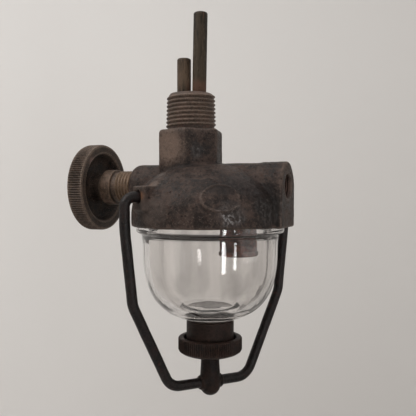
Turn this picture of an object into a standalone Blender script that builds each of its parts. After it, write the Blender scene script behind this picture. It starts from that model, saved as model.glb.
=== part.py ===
"""Fuel sediment bowl with a main-and-reserve shutoff valve.

A cast-iron valve body hangs from a tank by its pipe thread and carries two
standpipes. A handwheel works a screw-down valve in the cross barrel. A glass
bowl is held up against the body's gasket by a wire bail, whose knurled nut
pushes a clamp cup against the glass.

Frame: metres, +Z up. The origin is the centre of the pipe thread's upper end.
+X runs along the cross barrel from the handwheel towards the outlet.
"""

import math

import bmesh
import bpy
from mathutils import Matrix, Vector

MM = 0.001
GAP = 0.3 * MM          # between two pieces that touch
FIT = 0.12 * MM         # radial clearance of a round piece in its hole

ROUND = 48              # sides of a large turned piece
MEDIUM_ROUND = 32
SMALL_ROUND = 24
BORE_ROUND = 16

# Levels and axes of the casting
RIM_Z = -47.2 * MM              # lower edge of the skirt over the glass
BARREL_Z = RIM_Z + 14.0 * MM
BOWL_X = 7.4 * MM               # the bowl's axis lies this far from the pipe's

# Pipe thread and neck
THREAD_LENGTH = 12.9 * MM
THREAD_R = 8.6 * MM             # crest radius at the thread's upper end
THREAD_DEPTH = 0.62 * MM
THREAD_PITCH = 25.4 / 18 * MM   # eighteen turns to the inch
THREAD_TURNS = 8
THREAD_TAPER = 1 / 32           # radius gained per unit of length
NECK_CORNER_R = 12.05 * MM
NECK_TURN = math.radians(12)
NECK_DEPTH = 20 * MM            # reaches down into the dome

# Casting
SKIRT_R = 27.9 * MM
SKIRT_BORE_R = 26.8 * MM
SKIRT_STRAIGHT = 5.2 * MM
SEAT_Z = RIM_Z + 5.3 * MM       # ceiling inside the skirt, where the gasket seats
DOME_TOP_Z = RIM_Z + 22.5 * MM
BARREL_R = 8.2 * MM
BARREL_EASE = 2.6 * MM
BOSS_X = BOWL_X - 29.7 * MM
OUTLET_X = BOWL_X + 28.5 * MM
OUTLET_HALF_WIDTH = 8.5 * MM
OUTLET_DEPTH = 9.0 * MM
PORT_R = 4.1 * MM
PORT_DEPTH = 8.5 * MM
PASSAGE_R = 1.6 * MM            # under each standpipe
FEED_R = 2.2 * MM               # from the valve seat down into the bowl
FEED_X = BOWL_X + 1.6 * MM
RISER_R = 2.6 * MM              # from the strainer up to the outlet port
STRAINER_X = BOWL_X + 10.5 * MM

# Standpipes
PIPE_R = 2.5 * MM
PIPE_BORE_R = 1.7 * MM
PIPE_BOTTOM_Z = -20.0 * MM
PIPE_BEND_Z = 0.5 * MM          # a leaning pipe is upright below this
MAIN_PIPE_X = 3.2 * MM
MAIN_PIPE_TOP = 28.7 * MM
MAIN_PIPE_LEAN = math.tan(math.radians(1.1))
RESERVE_PIPE_X = -2.75 * MM
RESERVE_PIPE_TOP = 12.9 * MM

# Valve, along the barrel
CHAMBER_R = 4.0 * MM
CHAMBER_START_X = -10.3 * MM
PACKING_R = 4.8 * MM
PACKING_START_X = -14.4 * MM
SEAT_X = 5.5 * MM               # face that the valve disc closes on
SEAT_THICKNESS = 2.0 * MM
SEAT_BORE_R = 1.7 * MM
PLUNGER_START_X = -4.9 * MM
PLUNGER_LAND_END_X = -1.1 * MM
PLUNGER_WAIST_R = 1.9 * MM
PLUNGER_HEAD_R = 2.9 * MM
PLUNGER_HEAD_X = SEAT_X - 2.0 * MM
NUT_THREAD_R = 6.05 * MM
NUT_THREAD_PITCH = 25.4 / 20 * MM
NUT_THREAD_DEPTH = 0.5 * MM
COLLAR_R = 6.6 * MM
COLLAR_OUTER_X = -34.5 * MM
COLLAR_LENGTH = 4.2 * MM
STEM_R = 2.4 * MM
STEM_THREAD_R = 3.0 * MM
STEM_THREAD_END_X = -20.0 * MM
STEM_END_R = 2.0 * MM           # thread for the wheel's nut

# Handwheel and its fasteners
WHEEL_R = 16.25 * MM
WHEEL_INNER_X = BOWL_X - 43.4 * MM
WHEEL_OUTER_X = WHEEL_INNER_X - 6.2 * MM
WHEEL_DISH_R = 12.8 * MM
WHEEL_DISH_DEPTH = 3.6 * MM
WHEEL_HUB_R = 5.2 * MM
WHEEL_HUB_X = WHEEL_INNER_X + 0.8 * MM
WHEEL_NUT_CORNER_R = 5.2 * MM
WHEEL_NUT_LENGTH = 3.2 * MM
WHEEL_NUT_X = WHEEL_OUTER_X - 1.1 * MM

# Strainer
STRAINER_R = 6.75 * MM
STRAINER_SHEET = 0.4 * MM
STRAINER_BOTTOM_Z = RIM_Z - 9.0 * MM
FERRULE_LIP_Z = RIM_Z + 1.5 * MM
FERRULE_SPIGOT = 5.0 * MM
GAUZE_R = 6.2 * MM

# Glass bowl
GLASS_R = 23.95 * MM
GLASS_START = 7.3 * MM          # below the rim, where the wall starts to curve in
GLASS_DEPTH = 33.35 * MM
GLASS_POWER = 2.65
GLASS_INNER_R = 21.9 * MM
GLASS_INNER_START = 8.5 * MM
GLASS_FLOOR_Z = RIM_Z - 28.6 * MM
BEAD_R = 26.2 * MM
BEAD_DEPTH = 2.1 * MM
GLASS_TOP_Z = RIM_Z + 3.2 * MM

# Bail
BAIL_TURN = math.radians(56)    # its pivot line, from the barrel's axis
PIVOT_Z = RIM_Z + 10.5 * MM
WIRE_R = 1.85 * MM
LUG_FACE = 28.9 * MM
LUG_HALF_WIDTH = 4.0 * MM
LUG_TOP_Z = RIM_Z + 14.2 * MM
PIVOT_DEPTH = 6.3 * MM          # of the hole in each lug
PIVOT_GRIP = 4.8 * MM           # length of wire end inside it
BAIL_BOTTOM_Z = RIM_Z - 56.4 * MM
BAIL_FOOT_RISE = 1.6 * MM       # the front end of the foot is this much higher
BAIL_SHOULDER_Z = RIM_Z - 25.4 * MM
REAR_ARM = (34.8 * MM, 31.7 * MM, 16.4 * MM)    # reach at pivot, shoulder and foot
FRONT_ARM = (33.6 * MM, 30.7 * MM, 16.5 * MM)
BEND_RADII = (3.4 * MM, 60 * MM, 9 * MM, 6.5 * MM)

# Clamp
CONTACT_R = 43.95 * MM          # glass underside, measured from the pivot line
CUP_R = 8.45 * MM
CUP_WALL = 1.3 * MM
CUP_SHELF = 1.0 * MM
PAD_THICKNESS = 1.5 * MM
NUT_R = 11.4 * MM
NUT_TOP_Z = RIM_Z - 39.3 * MM
NUT_BOTTOM_Z = RIM_Z - 45.8 * MM
DISH_FLOOR_Z = NUT_TOP_Z - 2.0 * MM
STUD_R = 4.6 * MM
STUD_TOP_Z = NUT_TOP_Z - 2.4 * MM
STUD_WAIST_R = 3.3 * MM
BALL_R = 3.7 * MM
BALL_Z = BAIL_BOTTOM_Z - 0.4 * MM


# ---------------------------------------------------------------- helpers

def clear_scene():
    """Removes whatever the file starts with."""
    for obj in list(bpy.data.objects):
        bpy.data.objects.remove(obj, do_unlink=True)


def material(name, colour, metallic=0.0, roughness=0.6, alpha=1.0):
    """A plain Principled material."""
    made = bpy.data.materials.new(name)
    made.use_nodes = True
    shader = made.node_tree.nodes["Principled BSDF"]
    shader.inputs["Base Color"].default_value = (*colour, 1.0)
    shader.inputs["Metallic"].default_value = metallic
    shader.inputs["Roughness"].default_value = roughness
    shader.inputs["Alpha"].default_value = alpha
    return made


def add_object(name, bm, finish=None, place=None):
    """Turns a bmesh into an object, facing out, and places it."""
    bmesh.ops.recalc_face_normals(bm, faces=bm.faces)
    mesh = bpy.data.meshes.new(name)
    bm.to_mesh(mesh)
    bm.free()
    obj = bpy.data.objects.new(name, mesh)
    bpy.context.scene.collection.objects.link(obj)
    if place is not None:
        obj.matrix_world = place
    if finish is not None:
        mesh.materials.append(finish)
    mesh.shade_smooth()
    mesh.set_sharp_from_angle(angle=math.radians(35))
    return obj


def along_x(x):
    """Places a piece that was turned about its own Z with that axis along the barrel."""
    turn = Matrix.Rotation(math.radians(90), 4, "Y")
    return Matrix.Translation((x, 0.0, BARREL_Z)) @ turn


def at(x=BOWL_X):
    """Places a piece about the upright axis at one x."""
    return Matrix.Translation((x, 0.0, 0.0))


def turned_mesh(profile, sides=ROUND):
    """Turns a closed outline of (radius, height) points about Z."""
    bm = bmesh.new()
    ring = [bm.verts.new((radius, 0.0, height)) for radius, height in profile]
    edges = [bm.edges.new((ring[i - 1], ring[i])) for i in range(len(ring))]
    on_axis = [
        edge for edge in edges if all(vert.co.x < 1e-9 for vert in edge.verts)
    ]
    for edge in on_axis:
        edges.remove(edge)
        bm.edges.remove(edge)
    bmesh.ops.spin(
        bm,
        geom=edges + ring,
        cent=(0, 0, 0),
        axis=(0, 0, 1),
        angle=2 * math.pi,
        steps=sides,
        use_merge=True,
    )
    bmesh.ops.remove_doubles(bm, verts=bm.verts, dist=1e-7)
    return bm


def turned(name, profile, finish=None, place=None, sides=ROUND):
    """A turned piece as an object."""
    return add_object(name, turned_mesh(profile, sides), finish, place)


def rod(radius, start, end):
    """Outline of a plain solid rod between two heights."""
    return [(0.0, start), (radius, start), (radius, end), (0.0, end)]


def tube(inner, outer, start, end):
    """Outline of a plain tube between two heights."""
    return [(inner, start), (outer, start), (outer, end), (inner, end)]


def box_mesh(low, high):
    """A plain box between two corners."""
    bm = bmesh.new()
    size = Vector(high) - Vector(low)
    middle = (Vector(high) + Vector(low)) / 2
    bmesh.ops.create_cube(bm, size=1.0)
    bmesh.ops.scale(bm, vec=size, verts=bm.verts)
    bmesh.ops.translate(bm, vec=middle, verts=bm.verts)
    return bm


def combine(obj, other, operation):
    """Adds an exact Boolean with a helper object, which is then hidden."""
    modifier = obj.modifiers.new(other.name, "BOOLEAN")
    modifier.operation = operation
    modifier.solver = "EXACT"
    modifier.object = other
    other.hide_render = True
    other.display_type = "WIRE"


def join(obj, *others):
    """Adds helper objects to an object."""
    for other in others:
        combine(obj, other, "UNION")


def cut(obj, *others):
    """Takes helper objects away from an object."""
    for other in others:
        combine(obj, other, "DIFFERENCE")


def knurled(name, profile, finish, place, sides, notch, low, high):
    """A turned piece whose outermost points between two heights go in and out."""
    bm = turned_mesh(profile, sides)
    outer = max(radius for radius, _ in profile)
    for vert in bm.verts:
        radius = math.hypot(vert.co.x, vert.co.y)
        if radius > outer - notch / 2 and low <= vert.co.z <= high:
            step = round(math.atan2(vert.co.y, vert.co.x) / (2 * math.pi / sides))
            if step % 2:
                shrink = (radius - notch) / radius
                vert.co.x *= shrink
                vert.co.y *= shrink
    return add_object(name, bm, finish, place)


# ---------------------------------------------------------------- casting

def dome_outline():
    """Half section of the skirt and dome, solid, about the bowl's axis."""
    steps = 9
    edge = 0.4 * MM
    start = RIM_Z + SKIRT_STRAIGHT
    rise = DOME_TOP_Z - start
    outline = [(0.0, RIM_Z), (SKIRT_R - edge, RIM_Z), (SKIRT_R, RIM_Z + edge)]
    for i in range(steps):
        turn = math.pi / 2 * i / steps
        outline.append((SKIRT_R * math.cos(turn), start + rise * math.sin(turn)))
    outline.append((0.0, DOME_TOP_Z))
    return outline


def thread_outline():
    """Neck thread as a stack of rings on a tapering core, solid to its axis."""
    core = THREAD_R - THREAD_DEPTH
    buried = -THREAD_LENGTH - NECK_DEPTH / 2
    first = -THREAD_LENGTH + 1.1 * MM
    outline = [(0.0, buried), (core, buried), (core - THREAD_TAPER * first, first)]
    for i in range(THREAD_TURNS):
        foot = first + i * THREAD_PITCH
        for share, radius in ((0.35, THREAD_R), (0.6, THREAD_R), (0.95, core)):
            height = foot + share * THREAD_PITCH
            outline.append((radius - THREAD_TAPER * height, height))
    outline += [(core - 0.5 * MM, 0.0), (0.0, 0.0)]
    return outline


def neck():
    """Six-sided wrench boss under the thread, with its upper corners eased."""
    bm = bmesh.new()
    bmesh.ops.create_cone(
        bm,
        cap_ends=True,
        segments=6,
        radius1=NECK_CORNER_R,
        radius2=NECK_CORNER_R,
        depth=NECK_DEPTH,
        matrix=Matrix.Translation((0, 0, -THREAD_LENGTH - NECK_DEPTH / 2)),
    )
    bmesh.ops.rotate(
        bm, verts=bm.verts, cent=(0, 0, 0), matrix=Matrix.Rotation(NECK_TURN, 3, "Z")
    )
    top = [
        edge
        for edge in bm.edges
        if all(vert.co.z > -THREAD_LENGTH - MM for vert in edge.verts)
    ]
    bmesh.ops.bevel(
        bm, geom=top, offset=0.6 * MM, affect="EDGES", segments=1, profile=0.5, material=-1
    )
    return add_object("neck_form", bm)


def barrel():
    """Cross barrel, with the boss end rounded over."""
    steps = 4
    length = OUTLET_X - OUTLET_DEPTH / 2 - BOSS_X
    outline = [(0.0, 0.0)]
    for i in range(steps + 1):
        turn = math.pi / 2 * i / steps
        radius = BARREL_R - BARREL_EASE * (1 - math.sin(turn))
        outline.append((radius, BARREL_EASE * (1 - math.cos(turn))))
    outline += [(BARREL_R, length), (0.0, length)]
    return turned("barrel_form", outline, place=along_x(BOSS_X), sides=MEDIUM_ROUND)


def outlet_pad():
    """Upright pad with an arched top that the outlet port opens in."""
    bm = bmesh.new()
    arch = 8
    points = [(OUTLET_HALF_WIDTH, RIM_Z)]
    for i in range(arch + 1):
        turn = math.pi * i / arch
        across = OUTLET_HALF_WIDTH * math.cos(turn)
        points.append((across, BARREL_Z + OUTLET_HALF_WIDTH * math.sin(turn)))
    points.append((-OUTLET_HALF_WIDTH, RIM_Z))
    start = OUTLET_X - OUTLET_DEPTH
    face = bm.faces.new([bm.verts.new((start, y, z)) for y, z in points])
    grown = bmesh.ops.extrude_face_region(bm, geom=[face])
    moved = [item for item in grown["geom"] if isinstance(item, bmesh.types.BMVert)]
    bmesh.ops.translate(bm, vec=(OUTLET_DEPTH, 0, 0), verts=moved)
    return add_object("outlet_pad_form", bm)


def bail_frame():
    """Local frame of the bail: X along its pivot line, origin on the bowl's axis."""
    return Matrix.Translation((BOWL_X, 0, 0)) @ Matrix.Rotation(BAIL_TURN, 4, "Z")


def lugs():
    """Square lugs that the bail's ends turn in, as one bar across the casting."""
    bm = box_mesh(
        (-LUG_FACE, -LUG_HALF_WIDTH, SEAT_Z + 0.4 * MM),
        (LUG_FACE, LUG_HALF_WIDTH, LUG_TOP_Z),
    )
    upright = [
        edge
        for edge in bm.edges
        if abs(edge.verts[0].co.z - edge.verts[1].co.z) > MM
    ]
    bmesh.ops.bevel(
        bm, geom=upright, offset=0.8 * MM, affect="EDGES", segments=2, profile=0.5, material=-1
    )
    return add_object("lug_form", bm, place=bail_frame())


def valve_cutter():
    """Stepped bore of the barrel, from the boss end to past the valve seat."""
    start = BOSS_X - 2 * MM
    outline = [(0.0, start)]
    steps = (
        (NUT_THREAD_R + FIT, PACKING_START_X),
        (PACKING_R, CHAMBER_START_X),
        (CHAMBER_R, SEAT_X + SEAT_THICKNESS + FIT),
        (FEED_R - 0.1 * MM, FEED_X + 2 * MM),
    )
    for radius, end in steps:
        outline += [(radius, start), (radius, end)]
        start = end
    outline.append((0.0, start))
    return turned("valve_cutter", outline, place=along_x(0.0), sides=SMALL_ROUND)


def outlet_cutter():
    """Port bore from the outlet face, with its narrower passage inwards."""
    start = STRAINER_X - RISER_R
    step = OUTLET_X - PORT_DEPTH
    end = OUTLET_X + 2 * MM
    outline = [
        (0.0, start),
        (RISER_R, start),
        (RISER_R, step),
        (PORT_R, step),
        (PORT_R, end),
        (0.0, end),
    ]
    return turned("outlet_cutter", outline, place=along_x(0.0), sides=SMALL_ROUND)


def pipe_cutter(name, x):
    """Bore that holds a standpipe, with its drop into the valve chamber."""
    outline = [
        (0.0, BARREL_Z),
        (PASSAGE_R, BARREL_Z),
        (PASSAGE_R, PIPE_BOTTOM_Z - GAP),
        (PIPE_R + FIT, PIPE_BOTTOM_Z - GAP),
        (PIPE_R + FIT, 2 * MM),
        (0.0, 2 * MM),
    ]
    return turned(name, outline, place=at(x), sides=SMALL_ROUND)


def pivot_cutter(name, side):
    """Hole in a lug for one end of the bail."""
    start = side * (LUG_FACE + MM)
    end = side * (LUG_FACE - PIVOT_DEPTH)
    place = bail_frame() @ Matrix.Translation((0, 0, PIVOT_Z))
    place = place @ Matrix.Rotation(math.radians(90), 4, "Y")
    outline = rod(WIRE_R + 0.2 * MM, min(start, end), max(start, end))
    return turned(name, outline, place=place, sides=SMALL_ROUND)


def bowl_passage(name, radius, x):
    """Upright bore between the barrel's axis and the ceiling over the glass."""
    outline = rod(radius, SEAT_Z - MM, BARREL_Z)
    return turned(name, outline, place=at(x), sides=BORE_ROUND)


def valve_body():
    """The iron casting, with its bores cut through."""
    iron = material("cast_iron_body", (0.075, 0.058, 0.048), 0.35, 0.62)
    body = turned("valve_body", dome_outline(), iron, at())
    thread = turned("thread_form", thread_outline(), sides=SMALL_ROUND)
    join(body, barrel(), outlet_pad(), lugs(), neck(), thread)
    skirt = turned("skirt_cutter", rod(SKIRT_BORE_R, RIM_Z - 2 * MM, SEAT_Z), place=at())
    feed = bowl_passage("feed_cutter", FEED_R, FEED_X)
    riser = bowl_passage("riser_cutter", RISER_R, STRAINER_X)
    cut(body, skirt, valve_cutter(), outlet_cutter(), feed, riser)
    cut(body, pipe_cutter("main_pipe_cutter", MAIN_PIPE_X))
    cut(body, pipe_cutter("reserve_pipe_cutter", RESERVE_PIPE_X))
    cut(body, pivot_cutter("front_pivot_cutter", -1), pivot_cutter("rear_pivot_cutter", 1))


# ---------------------------------------------------------------- standpipes

def standpipe(name, x, top, lean, finish):
    """Upright tube with a rounded mouth, which may lean above the casting."""
    ease = 0.35 * MM
    outline = [
        (PIPE_BORE_R, PIPE_BOTTOM_Z),
        (PIPE_R, PIPE_BOTTOM_Z),
        (PIPE_R, PIPE_BEND_Z),
        (PIPE_R, top - ease),
        (PIPE_R - ease, top),
        (PIPE_BORE_R, top),
        (PIPE_BORE_R, PIPE_BEND_Z),
    ]
    bm = turned_mesh(outline, SMALL_ROUND)
    for vert in bm.verts:
        vert.co.x += lean * max(vert.co.z - PIPE_BEND_Z, 0.0)
    add_object(name, bm, finish, at(x))


def standpipes():
    """Both pipes: the tall main one and the short reserve one."""
    steel = material("standpipe_steel", (0.13, 0.10, 0.075), 0.6, 0.55)
    standpipe("main_standpipe", MAIN_PIPE_X, MAIN_PIPE_TOP, MAIN_PIPE_LEAN, steel)
    standpipe("reserve_standpipe", RESERVE_PIPE_X, RESERVE_PIPE_TOP, 0.0, steel)


# ---------------------------------------------------------------- valve

def packing_nut():
    """Threaded nut with a round collar, which the stem screws through."""
    brass = material("packing_nut_brass", (0.27, 0.20, 0.12), 0.8, 0.5)
    ease = 0.5 * MM
    root = NUT_THREAD_R - NUT_THREAD_DEPTH
    nose_r = PACKING_R - GAP
    nose = PACKING_START_X + GAP
    shoulder = COLLAR_OUTER_X + COLLAR_LENGTH
    bore = STEM_THREAD_R + FIT
    outline = [
        (bore, COLLAR_OUTER_X),
        (COLLAR_R - ease, COLLAR_OUTER_X),
        (COLLAR_R, COLLAR_OUTER_X + ease),
        (COLLAR_R, shoulder - ease),
        (root, shoulder),
    ]
    start = shoulder + 0.9 * MM
    turns = int((BOSS_X - start) / NUT_THREAD_PITCH)
    for i in range(turns):
        foot = start + i * NUT_THREAD_PITCH
        for share, radius in ((0.0, root), (0.35, NUT_THREAD_R), (0.65, NUT_THREAD_R)):
            outline.append((radius, foot + share * NUT_THREAD_PITCH))
    tail = start + turns * NUT_THREAD_PITCH
    outline += [
        (root, tail),
        (NUT_THREAD_R, tail + ease),
        (NUT_THREAD_R, nose - 3.0 * MM),
        (nose_r, nose - 2.7 * MM),
        (nose_r, nose),
        (bore, nose),
    ]
    turned("packing_nut", outline, brass, along_x(0.0), sides=SMALL_ROUND)


def packing():
    """Two soft rings and a brass washer, squeezed by the packing nut."""
    graphite = material("packing_graphite", (0.03, 0.03, 0.03), 0.0, 0.8)
    brass = material("packing_washer_brass", (0.35, 0.26, 0.12), 0.9, 0.4)
    inner = STEM_R + FIT
    outer = PACKING_R - FIT
    washer = 0.8 * MM
    start = PACKING_START_X + GAP + FIT
    room = CHAMBER_START_X - FIT - washer - start
    thickness = room / 2 - FIT
    for name in ("packing_ring_outer", "packing_ring_inner"):
        outline = tube(inner, outer, start, start + thickness)
        turned(name, outline, graphite, along_x(0.0), sides=SMALL_ROUND)
        start += thickness + FIT
    outline = tube(inner, outer, start, start + washer)
    turned("packing_washer", outline, brass, along_x(0.0), sides=SMALL_ROUND)


def valve_stem():
    """Spindle: wheel seat, screwed length in the packing nut, plain inner end."""
    steel = material("stem_steel", (0.25, 0.21, 0.17), 0.9, 0.4)
    ease = 0.3 * MM
    tip = WHEEL_NUT_X - WHEEL_NUT_LENGTH - 0.6 * MM
    seat_end = WHEEL_HUB_X + 0.2 * MM
    inner_end = PLUNGER_START_X - GAP
    outline = [
        (0.0, tip),
        (STEM_END_R - ease, tip),
        (STEM_END_R, tip + ease),
        (STEM_END_R, WHEEL_OUTER_X),
        (STEM_R, WHEEL_OUTER_X + ease),
        (STEM_R, seat_end),
        (STEM_THREAD_R, seat_end + ease),
        (STEM_THREAD_R, STEM_THREAD_END_X),
        (STEM_R, STEM_THREAD_END_X + ease),
        (STEM_R, inner_end),
        (0.0, inner_end),
    ]
    turned("valve_stem", outline, steel, along_x(0.0), sides=SMALL_ROUND)


def valve_plunger():
    """Plug whose wide land covers the reserve drop and whose head holds the disc."""
    brass = material("plunger_brass", (0.42, 0.32, 0.16), 0.9, 0.35)
    ease = 0.2 * MM
    land = CHAMBER_R - FIT
    head = PLUNGER_HEAD_X - 0.8 * MM
    outline = [
        (0.0, PLUNGER_START_X),
        (land, PLUNGER_START_X),
        (land, PLUNGER_LAND_END_X),
        (PLUNGER_WAIST_R, PLUNGER_LAND_END_X + ease),
        (PLUNGER_WAIST_R, head),
        (PLUNGER_HEAD_R, head + ease),
        (PLUNGER_HEAD_R, PLUNGER_HEAD_X),
        (0.0, PLUNGER_HEAD_X),
    ]
    turned("valve_plunger", outline, brass, along_x(0.0), sides=SMALL_ROUND)


def valve_disc():
    """Soft disc that closes on the seat, and the screw through its middle."""
    rubber = material("disc_rubber", (0.02, 0.02, 0.02), 0.0, 0.7)
    brass = material("disc_screw_brass", (0.42, 0.32, 0.16), 0.9, 0.35)
    screw_r = 0.85 * MM
    start = PLUNGER_HEAD_X + FIT
    end = SEAT_X - FIT
    outline = tube(screw_r + FIT, PLUNGER_HEAD_R - FIT, start, end)
    turned("valve_disc", outline, rubber, along_x(0.0), sides=SMALL_ROUND)
    outline = rod(screw_r, start, end + 0.5 * MM)
    turned("disc_screw", outline, brass, along_x(0.0), sides=SMALL_ROUND)


def valve_seat():
    """Ring pressed into the end of the chamber."""
    brass = material("seat_brass", (0.42, 0.32, 0.16), 0.9, 0.35)
    outline = tube(SEAT_BORE_R, CHAMBER_R - FIT, SEAT_X, SEAT_X + SEAT_THICKNESS)
    turned("valve_seat", outline, brass, along_x(0.0), sides=SMALL_ROUND)


# ---------------------------------------------------------------- handwheel

def handwheel():
    """Dished wheel with a knurled rim, hollow on the side towards the body."""
    iron = material("handwheel_iron", (0.11, 0.075, 0.055), 0.4, 0.65)
    ease = 0.8 * MM
    floor = WHEEL_INNER_X - WHEEL_DISH_DEPTH
    bore = STEM_R + FIT
    outline = [
        (bore, WHEEL_OUTER_X),
        (WHEEL_R - ease, WHEEL_OUTER_X),
        (WHEEL_R, WHEEL_OUTER_X + ease),
        (WHEEL_R, WHEEL_INNER_X - ease),
        (WHEEL_R - ease, WHEEL_INNER_X),
        (WHEEL_DISH_R, WHEEL_INNER_X),
        (WHEEL_DISH_R - 1.4 * MM, floor + ease),
        (WHEEL_DISH_R - 2.2 * MM, floor),
        (WHEEL_HUB_R + ease, floor),
        (WHEEL_HUB_R, floor + ease),
        (WHEEL_HUB_R, WHEEL_HUB_X),
        (bore, WHEEL_HUB_X),
    ]
    low = WHEEL_OUTER_X + ease / 2
    high = WHEEL_INNER_X - ease / 2
    knurled("handwheel", outline, iron, along_x(0.0), ROUND, 0.35 * MM, low, high)


def hexagonal(bm, corner, over):
    """Trims a turned bmesh to six flats wherever it is wider than a radius."""
    flat = corner * math.cos(math.radians(30))
    for vert in bm.verts:
        radius = math.hypot(vert.co.x, vert.co.y)
        turn = math.atan2(vert.co.y, vert.co.x) % math.radians(60) - math.radians(30)
        reach = flat / math.cos(turn)
        if radius > max(over, reach):
            vert.co.x *= reach / radius
            vert.co.y *= reach / radius


def wheel_fasteners():
    """Spring washer and hexagon nut that hold the wheel on the stem."""
    steel = material("wheel_nut_steel", (0.17, 0.12, 0.085), 0.7, 0.55)
    bore = STEM_END_R + FIT
    washer_end = WHEEL_OUTER_X - 0.15 * MM
    outline = tube(bore + FIT, 4.2 * MM, WHEEL_NUT_X + 0.15 * MM, washer_end)
    turned("wheel_washer", outline, steel, along_x(0.0), sides=SMALL_ROUND)
    start = WHEEL_NUT_X - WHEEL_NUT_LENGTH
    chamfer = 0.7 * MM
    outline = [
        (bore, start),
        (WHEEL_NUT_CORNER_R - chamfer, start),
        (WHEEL_NUT_CORNER_R, start + chamfer),
        (WHEEL_NUT_CORNER_R, WHEEL_NUT_X),
        (bore, WHEEL_NUT_X),
    ]
    bm = turned_mesh(outline, SMALL_ROUND)
    hexagonal(bm, WHEEL_NUT_CORNER_R, WHEEL_NUT_CORNER_R * 0.8)
    add_object("wheel_nut", bm, steel, along_x(0.0))


# ---------------------------------------------------------------- strainer

def strainer():
    """Ferrule pressed in the ceiling, gauze cylinder and its end cap."""
    brass = material("strainer_brass", (0.30, 0.15, 0.08), 0.8, 0.5)
    gauze = material("strainer_gauze", (0.36, 0.13, 0.07), 0.6, 0.6)
    place = at(STRAINER_X)
    ceiling = SEAT_Z - GAP
    plate = ceiling - 1.2 * MM
    inner = STRAINER_R - STRAINER_SHEET
    spigot_r = RISER_R - FIT
    spigot_bore = spigot_r - 0.8 * MM
    outline = [
        (spigot_bore, ceiling + FERRULE_SPIGOT),
        (spigot_bore, plate),
        (inner, plate),
        (inner, FERRULE_LIP_Z),
        (STRAINER_R, FERRULE_LIP_Z),
        (STRAINER_R, ceiling),
        (spigot_r, ceiling),
        (spigot_r, ceiling + FERRULE_SPIGOT),
    ]
    turned("strainer_ferrule", outline, brass, place, sides=MEDIUM_ROUND)
    outline = tube(GAUZE_R - 0.5 * MM, GAUZE_R, STRAINER_BOTTOM_Z, plate - FIT)
    turned("strainer_gauze", outline, gauze, place, sides=MEDIUM_ROUND)
    floor = STRAINER_BOTTOM_Z - FIT
    lip = STRAINER_BOTTOM_Z + 0.9 * MM
    outline = [
        (0.0, floor - 1.0 * MM),
        (STRAINER_R, floor - 1.0 * MM),
        (STRAINER_R, lip),
        (inner, lip),
        (inner, floor),
        (0.0, floor),
    ]
    turned("strainer_cap", outline, brass, place, sides=MEDIUM_ROUND)


# ---------------------------------------------------------------- bowl

def bowl_gasket():
    """Flat ring between the glass's rim and the casting's ceiling."""
    cork = material("gasket_cork", (0.16, 0.09, 0.05), 0.0, 0.9)
    clear = 0.1 * MM
    outline = tube(GLASS_INNER_R + 0.5 * MM, BEAD_R, GLASS_TOP_Z + clear, SEAT_Z - clear)
    turned("bowl_gasket", outline, cork, at())


def squared_arc(radius, start, end, power, steps):
    """Points of a squarish quarter curve from the wall's foot to the axis."""
    points = []
    for i in range(steps + 1):
        turn = math.pi / 2 * i / steps
        across = radius * max(math.cos(turn), 0.0) ** (2 / power)
        height = start - (start - end) * math.sin(turn) ** (2 / power)
        points.append((across if i < steps else 0.0, height))
    return points


def glass_bowl():
    """Round glass jar: beaded rim, squarish bottom, thick flat floor.

    Its underside stays within the clamp's swing about the bail's pivot line.
    """
    glass = material("bowl_glass", (0.82, 0.84, 0.80), 0.0, 0.05, 0.35)
    ease = 0.5 * MM
    bead_end = RIM_Z - BEAD_DEPTH
    outline = [
        (GLASS_INNER_R + 0.7 * MM, GLASS_TOP_Z),
        (BEAD_R - ease, GLASS_TOP_Z),
        (BEAD_R, GLASS_TOP_Z - ease),
        (BEAD_R, bead_end + ease),
        (BEAD_R - ease, bead_end),
        (GLASS_R + 0.7 * MM, bead_end - ease),
        (GLASS_R + 0.45 * MM, bead_end - 3 * ease),
    ]
    outer = squared_arc(
        GLASS_R, RIM_Z - GLASS_START, RIM_Z - GLASS_DEPTH, GLASS_POWER, 11
    )
    for radius, height in outer:
        lowest = PIVOT_Z - math.sqrt(CONTACT_R**2 - radius**2)
        outline.append((radius, max(height, lowest)))
    inner = squared_arc(
        GLASS_INNER_R, RIM_Z - GLASS_INNER_START, GLASS_FLOOR_Z, GLASS_POWER, 8
    )
    outline += list(reversed(inner))
    turned("glass_bowl", outline, glass, at())


# ---------------------------------------------------------------- bail

def rounded_path(corners, radii, step=math.radians(15)):
    """Points along straight runs whose inner corners are arcs of given radii."""
    points = [corners[0]]
    for before, corner, after, radius in zip(corners, corners[1:], corners[2:], radii):
        into = (corner - before).normalized()
        out = (after - corner).normalized()
        angle = into.angle(out)
        back = radius * math.tan(angle / 2)
        centre = corner + (out - into).normalized() * radius / math.cos(angle / 2)
        start = corner - into * back - centre
        axis = into.cross(out).normalized()
        count = max(2, math.ceil(angle / step))
        for i in range(count + 1):
            turn = Matrix.Rotation(angle * i / count, 3, axis)
            points.append(centre + turn @ start)
    points.append(corners[-1])
    return points


def arm_corners(arm, side, foot_z):
    """Corners of one arm of the bail, from inside its lug down to the foot."""
    reach, shoulder, foot = arm
    end = LUG_FACE - PIVOT_GRIP
    heights = (
        (end, PIVOT_Z),
        (reach, PIVOT_Z),
        (reach - 0.1 * MM, RIM_Z),
        (shoulder, BAIL_SHOULDER_Z),
        (foot, foot_z),
    )
    return [Vector((side * across, 0.0, height)) for across, height in heights]


def bail_corners():
    """Corners of the whole wire, from the rear lug to the front one."""
    rear = arm_corners(REAR_ARM, 1, BAIL_BOTTOM_Z)
    front = arm_corners(FRONT_ARM, -1, BAIL_BOTTOM_Z + BAIL_FOOT_RISE)
    return rear + list(reversed(front))


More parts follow.
